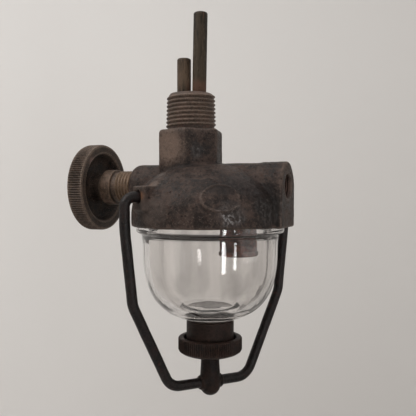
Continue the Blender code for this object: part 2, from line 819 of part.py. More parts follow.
def bail_wire():
    """Bent wire: both ends turn in at the lugs, the foot runs through the stud."""
    wire = material("bail_steel", (0.035, 0.025, 0.022), 0.5, 0.35)
    radii = BEND_RADII + tuple(reversed(BEND_RADII))
    points = rounded_path(bail_corners(), radii)
    data = bpy.data.curves.new("bail_wire", "CURVE")
    data.dimensions = "3D"
    spline = data.splines.new("POLY")
    spline.points.add(len(points) - 1)
    for point, place in zip(spline.points, points):
        point.co = (*place, 1.0)
    data.bevel_depth = WIRE_R
    data.bevel_resolution = 3
    data.use_fill_caps = True
    obj = bpy.data.objects.new("bail_wire", data)
    bpy.context.scene.collection.objects.link(obj)
    obj.matrix_world = bail_frame()
    data.materials.append(wire)


def foot_cutter():
    """Hole for the bail's foot, along the slight slope of the wire."""
    rear, front = bail_corners()[4:6]
    slope = (rear - front).normalized()
    middle = front + slope * (-front.x / slope.x)
    turn = Vector((0, 0, 1)).rotation_difference(slope).to_matrix().to_4x4()
    place = bail_frame() @ Matrix.Translation(middle) @ turn
    outline = rod(WIRE_R + 0.15 * MM, -9 * MM, 9 * MM)
    return turned("foot_cutter", outline, place=place, sides=BORE_ROUND)


# ---------------------------------------------------------------- clamp

def clamp_stud():
    """Stud with a ball end that the bail's foot passes through."""
    iron = material("stud_iron", (0.085, 0.055, 0.045), 0.5, 0.55)
    outline = [(0.0, BALL_Z - BALL_R)]
    steps = 5
    for i in range(1, steps + 1):
        turn = -math.pi / 2 + math.pi / 2 * i / steps
        outline.append((BALL_R * math.cos(turn), BALL_Z + BALL_R * math.sin(turn)))
    ease = 0.5 * MM
    thread_start = NUT_BOTTOM_Z + 0.9 * MM
    outline += [
        (BALL_R, BALL_Z + 3.0 * MM),
        (STUD_WAIST_R + 0.15 * MM, BALL_Z + 7.0 * MM),
        (STUD_WAIST_R, thread_start - ease),
        (STUD_R, thread_start),
        (STUD_R, STUD_TOP_Z - ease),
        (STUD_R - ease, STUD_TOP_Z),
        (0.0, STUD_TOP_Z),
    ]
    stud = turned("clamp_stud", outline, iron, at(), sides=SMALL_ROUND)
    cut(stud, foot_cutter())


def thumb_nut():
    """Knurled nut, dished on top to carry the cup's foot."""
    iron = material("thumb_nut_iron", (0.075, 0.048, 0.038), 0.4, 0.6)
    bore = STUD_R + FIT
    dish = CUP_R + 0.65 * MM
    ease = 0.5 * MM
    outline = [
        (bore, DISH_FLOOR_Z),
        (dish, DISH_FLOOR_Z),
        (dish + ease, NUT_TOP_Z),
        (NUT_R - ease, NUT_TOP_Z),
        (NUT_R, NUT_TOP_Z - ease),
        (NUT_R, NUT_BOTTOM_Z + 2.4 * MM),
        (NUT_R - 1.0 * MM, NUT_BOTTOM_Z + 1.1 * MM),
        (NUT_R - 4.0 * MM, NUT_BOTTOM_Z),
        (bore, NUT_BOTTOM_Z),
    ]
    low = NUT_BOTTOM_Z + 1.5 * MM
    high = NUT_TOP_Z - 0.2 * MM
    knurled("thumb_nut", outline, iron, at(), ROUND, 0.25 * MM, low, high)


def contact_height(radius, clearance):
    """Height of the glass underside at a radius, less a clearance."""
    return PIVOT_Z - math.sqrt((CONTACT_R + clearance) ** 2 - radius**2)


def clamp_cup():
    """Plain cup standing in the nut's dish, with a cushion under the glass."""
    iron = material("clamp_cup_iron", (0.10, 0.065, 0.05), 0.4, 0.6)
    cork = material("cup_pad_cork", (0.13, 0.085, 0.045), 0.0, 0.9)
    ease = 0.3 * MM
    foot = DISH_FLOOR_Z + GAP
    inner = CUP_R - CUP_WALL
    pad_r = CUP_R - 1.1 * MM
    ledge = contact_height(0.0, GAP) - PAD_THICKNESS
    rim = contact_height(CUP_R, 2 * GAP)
    roof = ledge - CUP_SHELF
    outline = [
        (inner, foot),
        (CUP_R - ease, foot),
        (CUP_R, foot + ease),
        (CUP_R, rim),
        (pad_r + FIT, rim),
        (pad_r + FIT, ledge),
        (0.0, ledge),
        (0.0, roof),
        (inner - 2 * ease, roof),
        (inner, roof - 2 * ease),
    ]
    turned("clamp_cup", outline, iron, at(), sides=MEDIUM_ROUND)
    outline = [(0.0, ledge + FIT), (pad_r, ledge + FIT)]
    steps = 4
    for i in range(steps + 1):
        radius = pad_r * (1 - i / steps)
        outline.append((radius, contact_height(radius, GAP)))
    turned("cup_pad", outline, cork, at(), sides=MEDIUM_ROUND)


def main():
    """Builds every piece."""
    clear_scene()
    valve_body()
    standpipes()
    packing_nut()
    packing()
    valve_stem()
    valve_plunger()
    valve_disc()
    valve_seat()
    handwheel()
    wheel_fasteners()
    strainer()
    bowl_gasket()
    glass_bowl()
    bail_wire()
    clamp_stud()
    thumb_nut()
    clamp_cup()


main()
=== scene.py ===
import logging
import math
from dataclasses import dataclass, field
from enum import Enum

import bmesh
import bpy
from mathutils import Matrix, Vector, noise


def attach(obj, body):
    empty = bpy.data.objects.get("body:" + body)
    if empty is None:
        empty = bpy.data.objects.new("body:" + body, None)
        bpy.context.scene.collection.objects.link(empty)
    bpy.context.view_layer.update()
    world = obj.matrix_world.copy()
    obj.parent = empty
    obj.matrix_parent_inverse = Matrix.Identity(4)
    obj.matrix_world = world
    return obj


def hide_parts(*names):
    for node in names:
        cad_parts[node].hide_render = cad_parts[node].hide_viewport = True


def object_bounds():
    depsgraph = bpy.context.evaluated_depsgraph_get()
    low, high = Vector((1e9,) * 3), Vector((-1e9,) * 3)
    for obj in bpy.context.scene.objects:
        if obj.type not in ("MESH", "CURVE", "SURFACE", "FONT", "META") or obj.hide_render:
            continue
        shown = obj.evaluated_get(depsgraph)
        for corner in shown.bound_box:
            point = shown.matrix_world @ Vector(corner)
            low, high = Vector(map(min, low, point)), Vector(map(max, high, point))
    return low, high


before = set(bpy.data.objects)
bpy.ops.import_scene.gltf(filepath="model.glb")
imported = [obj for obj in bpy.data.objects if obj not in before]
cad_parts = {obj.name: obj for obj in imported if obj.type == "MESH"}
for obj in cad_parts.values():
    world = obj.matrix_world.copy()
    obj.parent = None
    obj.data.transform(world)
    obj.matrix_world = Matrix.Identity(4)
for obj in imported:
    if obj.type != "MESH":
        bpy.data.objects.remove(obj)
CAD_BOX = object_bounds()

LOG = logging.getLogger("sediment_bowl")
MM = 0.001
INCH = 25.4
RIM_Z = -47.2 * MM
BARREL_Z = RIM_Z + 14.0 * MM
BOWL_X = 7.4 * MM
BAIL_TURN = math.radians(56)
PIVOT_Z = RIM_Z + 10.5 * MM
CONTACT_RADIUS = 43.95
INLET_PITCH = INCH / 18
PORT_PITCH = INCH / 27
PACKING_PITCH = INCH / 20
SCREW_PITCH = INCH / 16
WHEEL_NUT_PITCH = 0.794
SHARP_ANGLE = math.radians(38)
UPRIGHT = Matrix.Translation((BOWL_X, 0.0, 0.0))
ALONG_BARREL = Matrix.Translation((0.0, 0.0, BARREL_Z)) @ Matrix.Rotation(math.pi / 2, 4, "Y")

Triple = tuple[float, float, float]
Colour = Triple
Outline = list[tuple[float, float]]
Number = "Value | float"


class Body(Enum):
    """The bodies that new pieces move with."""

    ROOT = "root"
    WHEEL = "wheel"
    BAIL = "bail"
    CUP = "cup"
    NUT = "nut"


class Way(Enum):
    """Directions that streaks in a finish can run."""

    EVEN = (1.0, 1.0, 1.0)
    UPRIGHT = (1.0, 1.0, 0.12)
    ALONG = (0.15, 1.0, 1.0)


# ------------------------------------------------------------------ shader tools


class Value:
    """A shader socket that takes part in Python expressions."""

    def __init__(self, graph: "Graph", socket: bpy.types.NodeSocket) -> None:
        """Wraps one output socket."""
        self.graph = graph
        self.socket = socket

    def _math(self, operation: str, first: Number, second: Number) -> "Value":
        """Adds one Math node."""
        settings = {"operation": operation}
        return self.graph.add("ShaderNodeMath", settings, {0: first, 1: second})

    def __add__(self, other: Number) -> "Value":
        """Sum."""
        return self._math("ADD", self, other)

    def __sub__(self, other: Number) -> "Value":
        """Difference."""
        return self._math("SUBTRACT", self, other)

    def __rsub__(self, other: Number) -> "Value":
        """Difference from a number."""
        return self._math("SUBTRACT", other, self)

    def __mul__(self, other: Number) -> "Value":
        """Product."""
        return self._math("MULTIPLY", self, other)

    __radd__ = __add__
    __rmul__ = __mul__

    def span(self, low: float, high: float) -> "Value":
        """A smooth step.

        Args:
            low: the value that gives 0.
            high: the value that gives 1.

        Returns:
            A number from 0 to 1.
        """
        settings = {"interpolation_type": "SMOOTHSTEP"}
        return self.graph.add("ShaderNodeMapRange", settings, {0: self, 1: low, 2: high})


class Graph:
    """The nodes of one material, on Object coordinates."""

    def __init__(self, name: str) -> None:
        """Makes the material and keeps its Principled shader.

        Args:
            name: the material's name.
        """
        self.material = bpy.data.materials.new(name)
        self.material.use_nodes = True
        self.tree = self.material.node_tree
        self.shader = self.tree.nodes["Principled BSDF"]
        self.at = self.add("ShaderNodeTexCoord", output=3)

    def add(
        self,
        kind: str,
        settings: dict | None = None,
        sockets: dict | None = None,
        output: int = 0,
    ) -> Value:
        """Adds a node.

        Args:
            kind: the node's type.
            settings: its properties, set first.
            sockets: values or links, by input name or number.
            output: which output to return.

        Returns:
            That output, wrapped.
        """
        node = self.tree.nodes.new(kind)
        for key, value in (settings or {}).items():
            setattr(node, key, value)
        for key, value in (sockets or {}).items():
            if isinstance(value, Value):
                self.tree.links.new(value.socket, node.inputs[key])
            else:
                node.inputs[key].default_value = value
        return Value(self, node.outputs[output])

    def stretch(self, way: Way, shift: float = 0.0) -> Value:
        """Object coordinates squeezed along one direction."""
        sockets = {"Vector": self.at, "Scale": way.value, "Location": (shift, shift, 0.0)}
        return self.add("ShaderNodeMapping", None, sockets)

    def grain(
        self, size: float, detail: float = 4.0, rough: float = 0.6, at: Value | None = None
    ) -> Value:
        """Soft noise.

        Args:
            size: feature size in metres.
            detail: octaves.
            rough: strength of the finer octaves.
            at: coordinates, or none for the object's own.

        Returns:
            A number from 0 to 1.
        """
        sockets = {"Vector": at or self.at, "Scale": 1 / size, "Detail": detail, "Roughness": rough}
        return self.add("ShaderNodeTexNoise", None, sockets)

    def cells(self, size: float) -> Value:
        """Distance to scattered points, as a share of their spacing."""
        return self.add("ShaderNodeTexVoronoi", None, {"Vector": self.at, "Scale": 1 / size})

    def near(self, place: Vector, size: Vector, ragged: Value) -> Value:
        """A ragged soft blot.

        Args:
            place: its middle in metres.
            size: its reach along each axis.
            ragged: noise that breaks its outline.

        Returns:
            1 inside and 0 outside.
        """
        away = self.add("ShaderNodeVectorMath", {"operation": "SUBTRACT"}, {0: self.at, 1: place})
        share = {0: away, 1: Vector([1 / s for s in size])}
        away = self.add("ShaderNodeVectorMath", {"operation": "MULTIPLY"}, share)
        reach = self.add("ShaderNodeVectorMath", {"operation": "LENGTH"}, {0: away}, output=1)
        tatter, solid, clear = 1.6, 0.55, 1.15
        return 1.0 - (reach + (ragged - 0.5) * tatter).span(solid, clear)

    def blend(self, share: Number, first: "Value | Colour", second: "Value | Colour") -> Value:
        """Mixes two colours.

        Args:
            share: how much of the second shows, from 0 to 1.
            first: the colour at 0.
            second: the colour at 1.

        Returns:
            The mixed colour.
        """
        pair = [c if isinstance(c, Value) else (*c, 1.0) for c in (first, second)]
        sockets = {0: share, 6: pair[0], 7: pair[1]}
        return self.add("ShaderNodeMix", {"data_type": "RGBA"}, sockets, output=2)

    def feel(self, name: str) -> Value:
        """A number that the mesh's own points carry."""
        return self.add("ShaderNodeAttribute", {"attribute_name": name}, output=2)

    def feed(self, name: str, value: "Value | float | Colour") -> None:
        """Links or sets one of the shader's sockets.

        Args:
            name: the socket's name.
            value: a node's output, a number or a colour.
        """
        socket = self.shader.inputs[name]
        if isinstance(value, Value):
            self.tree.links.new(value.socket, socket)
        elif isinstance(value, tuple):
            socket.default_value = (*value, 1.0)
        else:
            socket.default_value = value

    def emboss(self, height: Value, depth: float) -> None:
        """Raises the surface by a height from 0 to 1 times a depth in metres."""
        bump = {"Strength": 1.0, "Distance": depth, "Height": height}
        self.feed("Normal", self.add("ShaderNodeBump", None, bump))


@dataclass(frozen=True)
class Blot:
    """A patch at one place on a piece, mostly a stain and in a few places painted highlight or shade: its
    middle and reach in millimetres, its tone and its wetness.
    """

    place: Triple
    size: Triple
    colour: Colour
    strength: float = 0.8
    rough: float = 0.6
    wet: float = 0.0


@dataclass(frozen=True)
class MetalFinish:
    """Aged metal: two mottled tones, a worn tone on its edges, stains and pits; a few of its patches are
    painted highlight or shade.
    """

    name: str
    dark: Colour
    mid: Colour
    worn: Colour
    stain: Colour
    patch: float = 5.0
    grain: float = 0.8
    wear: float = 0.5
    stained: float = 0.25
    rough: tuple[float, float] = (0.45, 0.75)
    metallic: float = 0.35
    depth: float = 0.10
    coat: float = 0.0
    sheen: float = 0.28
    way: Way = Way.EVEN
    painted_wear: bool = False
    blots: tuple[Blot, ...] = ()

    def material(self) -> bpy.types.Material:
        """Builds the node tree.

        Returns:
            The material.
        """
        g = Graph(self.name)
        flow = g.stretch(self.way)
        broad = g.grain(self.patch * MM, 3.0, 0.55, flow)
        fine = g.grain(self.grain * MM, 6.0, 0.7, flow)
        blotch = g.grain(self.patch * 0.55 * MM, 5.0, 0.75, g.stretch(self.way, 0.37))
        pits = 1.0 - g.cells(self.grain * 1.7 * MM).span(0.10, 0.34)
        tone = (broad * 0.5 + fine * 0.5).span(0.43, 0.58)
        colour = g.blend(tone, self.dark, self.mid)
        stain = blotch.span(0.62 - 0.2 * self.stained, 0.74 - 0.1 * self.stained)
        colour = g.blend(stain * 0.85, colour, self.stain)
        scuff = fine.span(0.40, 0.66)
        if self.painted_wear:
            edge = g.feel("wear") * (0.45 + scuff * 0.55)
        else:
            edge = (fine * 0.6 + blotch * 0.4).span(0.60 - 0.12 * self.wear, 0.74)
        colour = g.blend(edge * self.wear, colour, self.worn)
        chips = g.grain(self.grain * 0.5 * MM, 3.0, 0.6, g.stretch(self.way, 0.11)).span(0.56, 0.70)
        colour = g.blend(chips * 0.38, colour, self.worn)
        specks = pits * fine.span(0.46, 0.58)
        colour = g.blend(specks * 0.8, colour, tuple(c * 0.35 for c in self.dark))
        low, high = self.rough
        rough = low + (high - low) * (0.35 * tone + 0.65 * (1.0 - edge) * scuff)
        coat = chips * self.coat
        ragged = (broad * 0.3 + fine * 0.7 - 0.5) * 1.5 + 0.5
        for blot in self.blots:
            share = g.near(Vector(blot.place) * MM, Vector(blot.size) * MM, ragged)
            if blot.wet:
                coat = coat + share * (fine.span(0.48, 0.56) * blot.wet)
            share = share * blot.strength * (0.65 + 0.25 * tone + 0.3 * chips)
            colour = g.blend(share, colour, blot.colour)
            rough = rough + (blot.rough - rough) * share
        g.feed("Base Color", colour)
        g.feed("Roughness", rough)
        g.feed("Metallic", self.metallic * (0.4 + edge * 0.6))
        g.feed("Coat Weight", coat)
        g.feed("Coat Roughness", 0.26)
        g.feed("Specular IOR Level", self.sheen)
        g.emboss(fine * 0.5 + broad * 0.4 + chips * 0.25 - specks * 0.6 + stain * 0.2, self.depth * MM)
        return g.material


@dataclass(frozen=True)
class GlassFinish:
    """Old clear moulded glass with a grey-brown cast, darker vertical bands of painted shade and a film of
    dirt.
    """

    name: str = "old_glass"
    tint: Colour = (0.93, 0.912, 0.90)
    film: Colour = (0.20, 0.16, 0.12)
    painted_band_shade: float = 0.82
    film_share: float = 0.04
    ripple: float = 0.16
    dirt_low: float = RIM_Z - 27.5 * MM
    dirt_high: float = RIM_Z - 20 * MM

    def material(self) -> bpy.types.Material:
        """Builds the node tree.

        Returns:
            The material.
        """
        g = Graph(self.name)
        ripple_and_painted_shade = g.grain(7 * MM, 2.0, 0.5, g.stretch(Way.UPRIGHT))
        dirt = g.grain(2.5 * MM, 5.0, 0.7, g.stretch(Way.UPRIGHT, 0.2))
        height = g.add("ShaderNodeSeparateXYZ", None, {0: g.at}, output=2)
        bottom = 1.0 - height.span(self.dirt_low, self.dirt_high)
        film = dirt.span(0.50, 0.72) * (0.25 + 0.75 * bottom)
        # painted shade: darker vertical bands in the glass's tint stand in for shade seen in the bowl; the
        # same noise also ripples the surface
        shaded = tuple(c * self.painted_band_shade for c in self.tint)
        colour = g.blend(ripple_and_painted_shade.span(0.44, 0.60) * 0.9, self.tint, shaded)
        g.feed("Base Color", g.blend(film * self.film_share, colour, self.film))
        g.feed("Roughness", 0.01 + film * 0.05)
        g.feed("Transmission Weight", 1.0)
        g.feed("IOR", 1.5)
        g.emboss(ripple_and_painted_shade * 0.8 + dirt * 0.05, self.ripple * MM)
        return g.material


@dataclass(frozen=True)
class SoftFinish:
    """Cork, rubber or graphite packing: two tones in small crumbs."""

    name: str
    dark: Colour
    light: Colour
    crumb: float = 0.9
    depth: float = 0.12

    def material(self) -> bpy.types.Material:
        """Builds the node tree.

        Returns:
            The material.
        """
        g = Graph(self.name)
        crumbs = g.cells(self.crumb * MM)
        fine = g.grain(0.4 * MM)
        g.feed("Base Color", g.blend(crumbs.span(0.1, 0.6) * fine.span(0.3, 0.7), self.dark, self.light))
        g.feed("Roughness", 0.72 + fine * 0.25)
        g.emboss(crumbs * 0.6 + fine * 0.4, self.depth * MM)
        return g.material


IRON_DARK = (0.0075, 0.0048, 0.0042)
CASTING_BLOTS = (
    Blot((-4.2, -9.3, -19.2), (7.5, 6.0, 7.0), (0.155, 0.108, 0.084), 0.80, 0.62),
    Blot((-6.5, -24.5, -36.4), (1.9, 2.6, 1.7), (0.15, 0.070, 0.038), 0.75, 0.85),
    Blot((-6.9, -19.2, -32.9), (1.7, 2.2, 1.5), (0.12, 0.062, 0.040), 0.60, 0.85),
    # partly wear and partly painted highlight: these two pale patches lie along the edge that rises from
    # the left lug to the foot of the neck, standing in for the light caught on that edge as well as its
    # worn tone
    Blot((-5.1, -19.8, -32.6), (3.0, 4.2, 1.6), (0.14, 0.105, 0.086), 0.70, 0.60),
    Blot((-5.3, -12.5, -28.9), (2.6, 4.2, 1.4), (0.12, 0.090, 0.074), 0.60, 0.60),
    Blot((6.0, -8.6, -20.7), (2.8, 3.0, 3.6), (0.010, 0.008, 0.008), 0.85, 0.35, 0.8),
    Blot((23.8, -22.5, -41.8), (6.0, 6.0, 4.6), (0.040, 0.030, 0.027), 0.50, 0.30, 1.0),
    Blot((32.0, -12.0, -38.5), (6.5, 9.0, 10.0), (0.0040, 0.0026, 0.0022), 0.95, 0.50, 0.35),
    Blot((26.0, -14.0, -33.0), (8.5, 8.5, 7.0), (0.009, 0.0050, 0.0042), 0.80, 0.42, 0.2),
    Blot((-3.0, -25.7, -41.5), (8.0, 6.0, 5.0), (0.075, 0.058, 0.050), 0.55, 0.62),
    # painted shade: a thin dark band along the crease at the foot of the neck
    Blot((4.3, -10.7, -26.4), (9.0, 3.0, 1.2), (0.009, 0.0065, 0.006), 0.75, 0.6),
    Blot((19.8, -21.3, -34.0), (6.4, 5.0, 4.2), (0.008, 0.0052, 0.0046), 0.80, 0.5),
)
CASTING_FINISH = MetalFinish(
    "old_cast_iron", IRON_DARK, (0.042, 0.0280, 0.0230), (0.155, 0.114, 0.094),
    (0.028, 0.0145, 0.0105), patch=5.0, grain=1.0, wear=0.75, stained=0.5, rough=(0.42, 0.78),
    metallic=0.2, depth=0.34, sheen=0.17, painted_wear=True, blots=CASTING_BLOTS,
)
THREAD_FINISH = MetalFinish(
    "thread_iron", (0.014, 0.0085, 0.0068), (0.070, 0.042, 0.033), (0.17, 0.128, 0.102),
    (0.060, 0.025, 0.017), patch=5.0, grain=0.7, wear=0.75, stained=0.7, rough=(0.45, 0.75),
    depth=0.14, sheen=0.2, painted_wear=True,
)
TUBE_FINISH = MetalFinish(
    "tube_steel", (0.0070, 0.0052, 0.0032), (0.036, 0.026, 0.0165), (0.11, 0.080, 0.056),
    (0.075, 0.032, 0.019), patch=4.5, grain=0.8, wear=0.5, stained=0.3, rough=(0.38, 0.70),
    metallic=0.3, depth=0.09, sheen=0.18, way=Way.UPRIGHT,
    blots=(
        Blot((3.2, 0.0, 2.4), (5.0, 5.0, 3.6), (0.105, 0.042, 0.026), 0.5, 0.6),
        Blot((-2.75, 0.0, 7.0), (3.4, 3.4, 9.0), (0.135, 0.088, 0.058), 0.75, 0.6),
    ),
)
WHEEL_FINISH = MetalFinish(
    "wheel_iron", (0.0055, 0.0036, 0.0028), (0.034, 0.0225, 0.0170), (0.235, 0.175, 0.138),
    (0.036, 0.020, 0.0135), patch=4.0, grain=0.8, wear=0.9, stained=0.35, rough=(0.45, 0.78),
    metallic=0.2, depth=0.14, sheen=0.18, painted_wear=True,
    blots=(Blot((-36.5, -8.6, -24.0), (1.6, 2.4, 2.2), (0.24, 0.15, 0.13), 0.6, 0.6),),
)
COLLAR_FINISH = MetalFinish(
    "collar_brass", (0.024, 0.0160, 0.0115), (0.105, 0.070, 0.053), (0.200, 0.132, 0.085),
    (0.048, 0.032, 0.021), patch=3.0, grain=0.6, wear=0.8, rough=(0.40, 0.68),
    metallic=0.4, depth=0.08, painted_wear=True,
)
BRASS_FINISH = MetalFinish(
    "inner_brass", (0.15, 0.09, 0.04), (0.32, 0.21, 0.09), (0.50, 0.36, 0.18),
    (0.12, 0.09, 0.04), patch=3.0, grain=0.5, wear=0.4, rough=(0.25, 0.5), metallic=0.9,
    depth=0.03, sheen=0.5,
)
STEM_FINISH = MetalFinish(
    "stem_steel", (0.030, 0.021, 0.015), (0.085, 0.062, 0.046), (0.22, 0.17, 0.135),
    (0.055, 0.027, 0.016), patch=2.5, grain=0.5, wear=0.6, rough=(0.35, 0.62),
    metallic=0.6, depth=0.05, way=Way.ALONG,
)
STRAINER_FINISH = MetalFinish(
    "strainer_copper", (0.060, 0.019, 0.012), (0.235, 0.075, 0.045), (0.38, 0.17, 0.11),
    (0.105, 0.040, 0.026), patch=3.0, grain=0.6, wear=0.5, stained=0.5, rough=(0.42, 0.68),
    metallic=0.3, depth=0.06,
)
CLAMP_FINISH = MetalFinish(
    "clamp_iron", (0.0026, 0.0015, 0.0012), (0.0135, 0.0076, 0.0058), (0.060, 0.036, 0.028),
    (0.026, 0.0115, 0.0075), patch=3.5, grain=0.7, wear=0.6, stained=0.45, rough=(0.42, 0.72),
    metallic=0.2, depth=0.12, sheen=0.14, painted_wear=True,
)
BAIL_FINISH = MetalFinish(
    "bail_wire_black", (0.0026, 0.0018, 0.0018), (0.0100, 0.0062, 0.0058), (0.055, 0.034, 0.028),
    (0.042, 0.0095, 0.006), patch=3.5, grain=0.6, wear=0.3, stained=0.3, rough=(0.32, 0.58),
    metallic=0.15, depth=0.20, coat=0.6, sheen=0.2,
)
CORK_FINISH = SoftFinish("gasket_cork", (0.030, 0.016, 0.010), (0.10, 0.055, 0.030))
PACKING_FINISH = SoftFinish("packing_graphite", (0.010, 0.010, 0.011), (0.05, 0.05, 0.052), 0.5, 0.05)
RUBBER_FINISH = SoftFinish("disc_rubber", (0.010, 0.009, 0.009), (0.024, 0.022, 0.021), 0.3, 0.02)


# ------------------------------------------------------------------ mesh tools


def supported(outline: Outline, closed: bool) -> Outline:
    """Adds points beside the corners of long stretches, so that wear stays on the edges.

    Args:
        outline: (radius, height) points in millimetres.
        closed: whether the last point joins the first.

    Returns:
        The longer outline.
    """
    reach, least = 0.35, 1.2
    points = []
    for here, there in zip(outline, outline[1:] + outline[:1]):
        points.append(here)
        length = math.dist(here, there)
        last = not closed and here == outline[-1]
        if length > least and max(here[0], there[0]) > 0 and not last:
            for share in (reach / length, 1 - reach / length):
                points.append(tuple(a + (b - a) * share for a, b in zip(here, there)))
    return points


def lathe(
    outline: Outline, steps: int, place: Matrix = UPRIGHT, closed: bool = True
) -> bmesh.types.BMesh:
    """Spins a half section about Z.

    Args:
        outline: (radius, height) points in millimetres.
        steps: sides of the turned piece.
        place: where the turned piece goes.
        closed: whether the outline's last point joins its first.

    Returns:
        The mesh, facing out.
    """
    bm = bmesh.new()
    outline = supported(outline, closed)
    ring = [bm.verts.new((radius * MM, 0.0, height * MM)) for radius, height in outline]
    pairs = list(zip(ring, ring[1:]))
    if closed:
        pairs.append((ring[-1], ring[0]))
    edges = [bm.edges.new(pair) for pair in pairs if max(v.co.x for v in pair) > 1e-9]
    bmesh.ops.spin(
        bm, geom=edges + ring, cent=(0, 0, 0), axis=(0, 0, 1),
        angle=2 * math.pi, steps=steps, use_merge=True,
    )
    bmesh.ops.remove_doubles(bm, verts=bm.verts, dist=1e-7)
    bmesh.ops.recalc_face_normals(bm, faces=bm.faces)
    bmesh.ops.transform(bm, matrix=place, verts=bm.verts)
    return bm


def soften(bm: bmesh.types.BMesh, width: float, angle: float = 32.0, segments: int = 3) -> None:
    """Bevels every edge sharper than an angle.

    Args:
        bm: the mesh.
        width: bevel width in millimetres.
        angle: least angle between faces, in degrees.
        segments: steps across the bevel.
    """
    limit = math.radians(angle)
    sharp = [e for e in bm.edges if len(e.link_faces) == 2 and e.calc_face_angle(0.0) > limit]
    bmesh.ops.bevel(
        bm, geom=sharp, offset=width * MM, affect="EDGES", segments=segments,
        profile=0.5, material=-1, clamp_overlap=True,
    )


@dataclass
class ScrewThread:
    """A right-handed ridge wound on a core, in millimetres."""

    root: float
    depth: float
    pitch: float
    start: float
    end: float
    taper: float = 0.0
    steps: int = 48
    fade: float = 1.1

    def ridge(self, place: Matrix) -> bmesh.types.BMesh:
        """Winds the ridge.

        Args:
            place: where the thread goes; its axis is Z before that.

        Returns:
            The closed ridge.
        """
        bm = bmesh.new()
        sunk = -0.25 if self.depth > 0 else 0.25
        half = self.pitch * 0.48
        crest = self.pitch * 0.10
        section = (
            (sunk, -half), (0.0, -half), (self.depth, -crest),
            (self.depth, crest), (0.0, half), (sunk, half),
        )
        ring = [bm.verts.new(((self.root + r) * MM, 0, (self.start + z) * MM)) for r, z in section]
        face = bm.faces.new(ring)
        turns = (self.end - self.start) / self.pitch
        steps = round(self.steps * turns)
        edges = list(face.edges)
        made = bmesh.ops.spin(
            bm, geom=edges + ring, cent=(0, 0, 0), axis=(0, 0, 1), angle=2 * math.pi * turns,
            steps=steps, dvec=(0, 0, self.pitch * turns / steps * MM), use_merge=False,
        )
        last = [item for item in made["geom_last"] if isinstance(item, bmesh.types.BMEdge)]
        bmesh.ops.edgeloop_fill(bm, edges=last)
        for vert in bm.verts:
            height = vert.co.z / MM
            radius = math.hypot(vert.co.x, vert.co.y) / MM
            proud = radius - self.root
            ends = min(height - self.start, self.end - height) + 0.5 * self.pitch
            share = min(max(ends / self.fade, 0.0), 1.0)
            lifted = self.root + (proud * share if proud * self.depth > 0 else proud)
            lifted -= self.taper * height
            vert.co.xy *= lifted / radius
        bmesh.ops.recalc_face_normals(bm, faces=bm.faces)
        bmesh.ops.transform(bm, matrix=place, verts=bm.verts)
        return bm


def add_to(bm: bmesh.types.BMesh, other: bmesh.types.BMesh) -> None:
    """Moves one bmesh's faces into another.

    Args:
        bm: the mesh that grows.
        other: the mesh that joins it, which is freed.
    """
    spare = bpy.data.meshes.new("spare")
    other.to_mesh(spare)
    other.free()
    bm.from_mesh(spare)
    bpy.data.meshes.remove(spare)


def remesh(bm: bmesh.types.BMesh, size: float, rounds: int) -> bmesh.types.BMesh:
    """Fuses closed shells into one skin of even quads, then smooths it.

    Args:
        bm: the shells, which are freed.
        size: quad size in millimetres.
        rounds: smoothing passes.

    Returns:
        The skin.
    """
    mesh = bpy.data.meshes.new("skin")
    bm.to_mesh(mesh)
    bm.free()
    obj = bpy.data.objects.new("skin", mesh)
    bpy.context.scene.collection.objects.link(obj)
    modifier = obj.modifiers.new("skin", "REMESH")
    modifier.mode = "VOXEL"
    modifier.voxel_size = size * MM
    made = bmesh.new()
    made.from_object(obj, bpy.context.evaluated_depsgraph_get())
    bpy.data.objects.remove(obj)
    for _ in range(rounds):
        bmesh.ops.smooth_vert(
            made, verts=made.verts, factor=0.5, use_axis_x=True, use_axis_y=True, use_axis_z=True
        )
    bmesh.ops.recalc_face_normals(made, faces=made.faces)
    return made


def paint_wear(mesh: bpy.types.Mesh, reach: float, rounds: int = 2) -> None:
    """Writes how far each point stands out from its neighbours, from 0 to 1.

    Args:
        mesh: the finished mesh.
        reach: height in millimetres that counts as fully worn.
        rounds: passes that spread the result.
    """
    bm = bmesh.new()
    bm.from_mesh(mesh)
    bm.normal_update()
    wear = []
    for vert in bm.verts:
        ring = [edge.other_vert(vert).co for edge in vert.link_edges]
        middle = sum(ring, Vector()) / max(len(ring), 1)
        wear.append(min(max((vert.co - middle).dot(vert.normal) / (reach * MM), 0.0), 1.0))
    for _ in range(rounds):
        spread = []
        for vert in bm.verts:
            ring = [wear[edge.other_vert(vert).index] for edge in vert.link_edges]
            spread.append(0.5 * wear[vert.index] + 0.5 * sum(ring) / max(len(ring), 1))
        wear = spread
    bm.free()
    layer = mesh.attributes.new("wear", "FLOAT", "POINT")
    layer.data.foreach_set("value", wear)


def piece(
    name: str,
    bm: bmesh.types.BMesh,
    dressing: bpy.types.Material,
    body: Body,
    replaces: tuple[str, ...] = (),
    worn: float = 0.0,
) -> None:
    """Makes a finished piece and hangs it on its body.

    Args:
        name: the piece's name.
        bm: its mesh, which is freed.
        dressing: its material.
        body: what it moves with.
        replaces: CAD nodes it stands for.
        worn: reach of the worn edges in millimetres, or 0 for none.
    """
    mesh = bpy.data.meshes.new(name)
    bm.to_mesh(mesh)
    bm.free()
    if worn:
        paint_wear(mesh, worn)
    mesh.materials.append(dressing)
    mesh.shade_smooth()
    mesh.set_sharp_from_angle(angle=SHARP_ANGLE)
    obj = bpy.data.objects.new(name, mesh)
    bpy.context.scene.collection.objects.link(obj)
    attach(obj, body.value)
    if replaces:
        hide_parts(*replaces)
    LOG.info("%s: %d faces on %s", name, len(mesh.polygons), body.value)


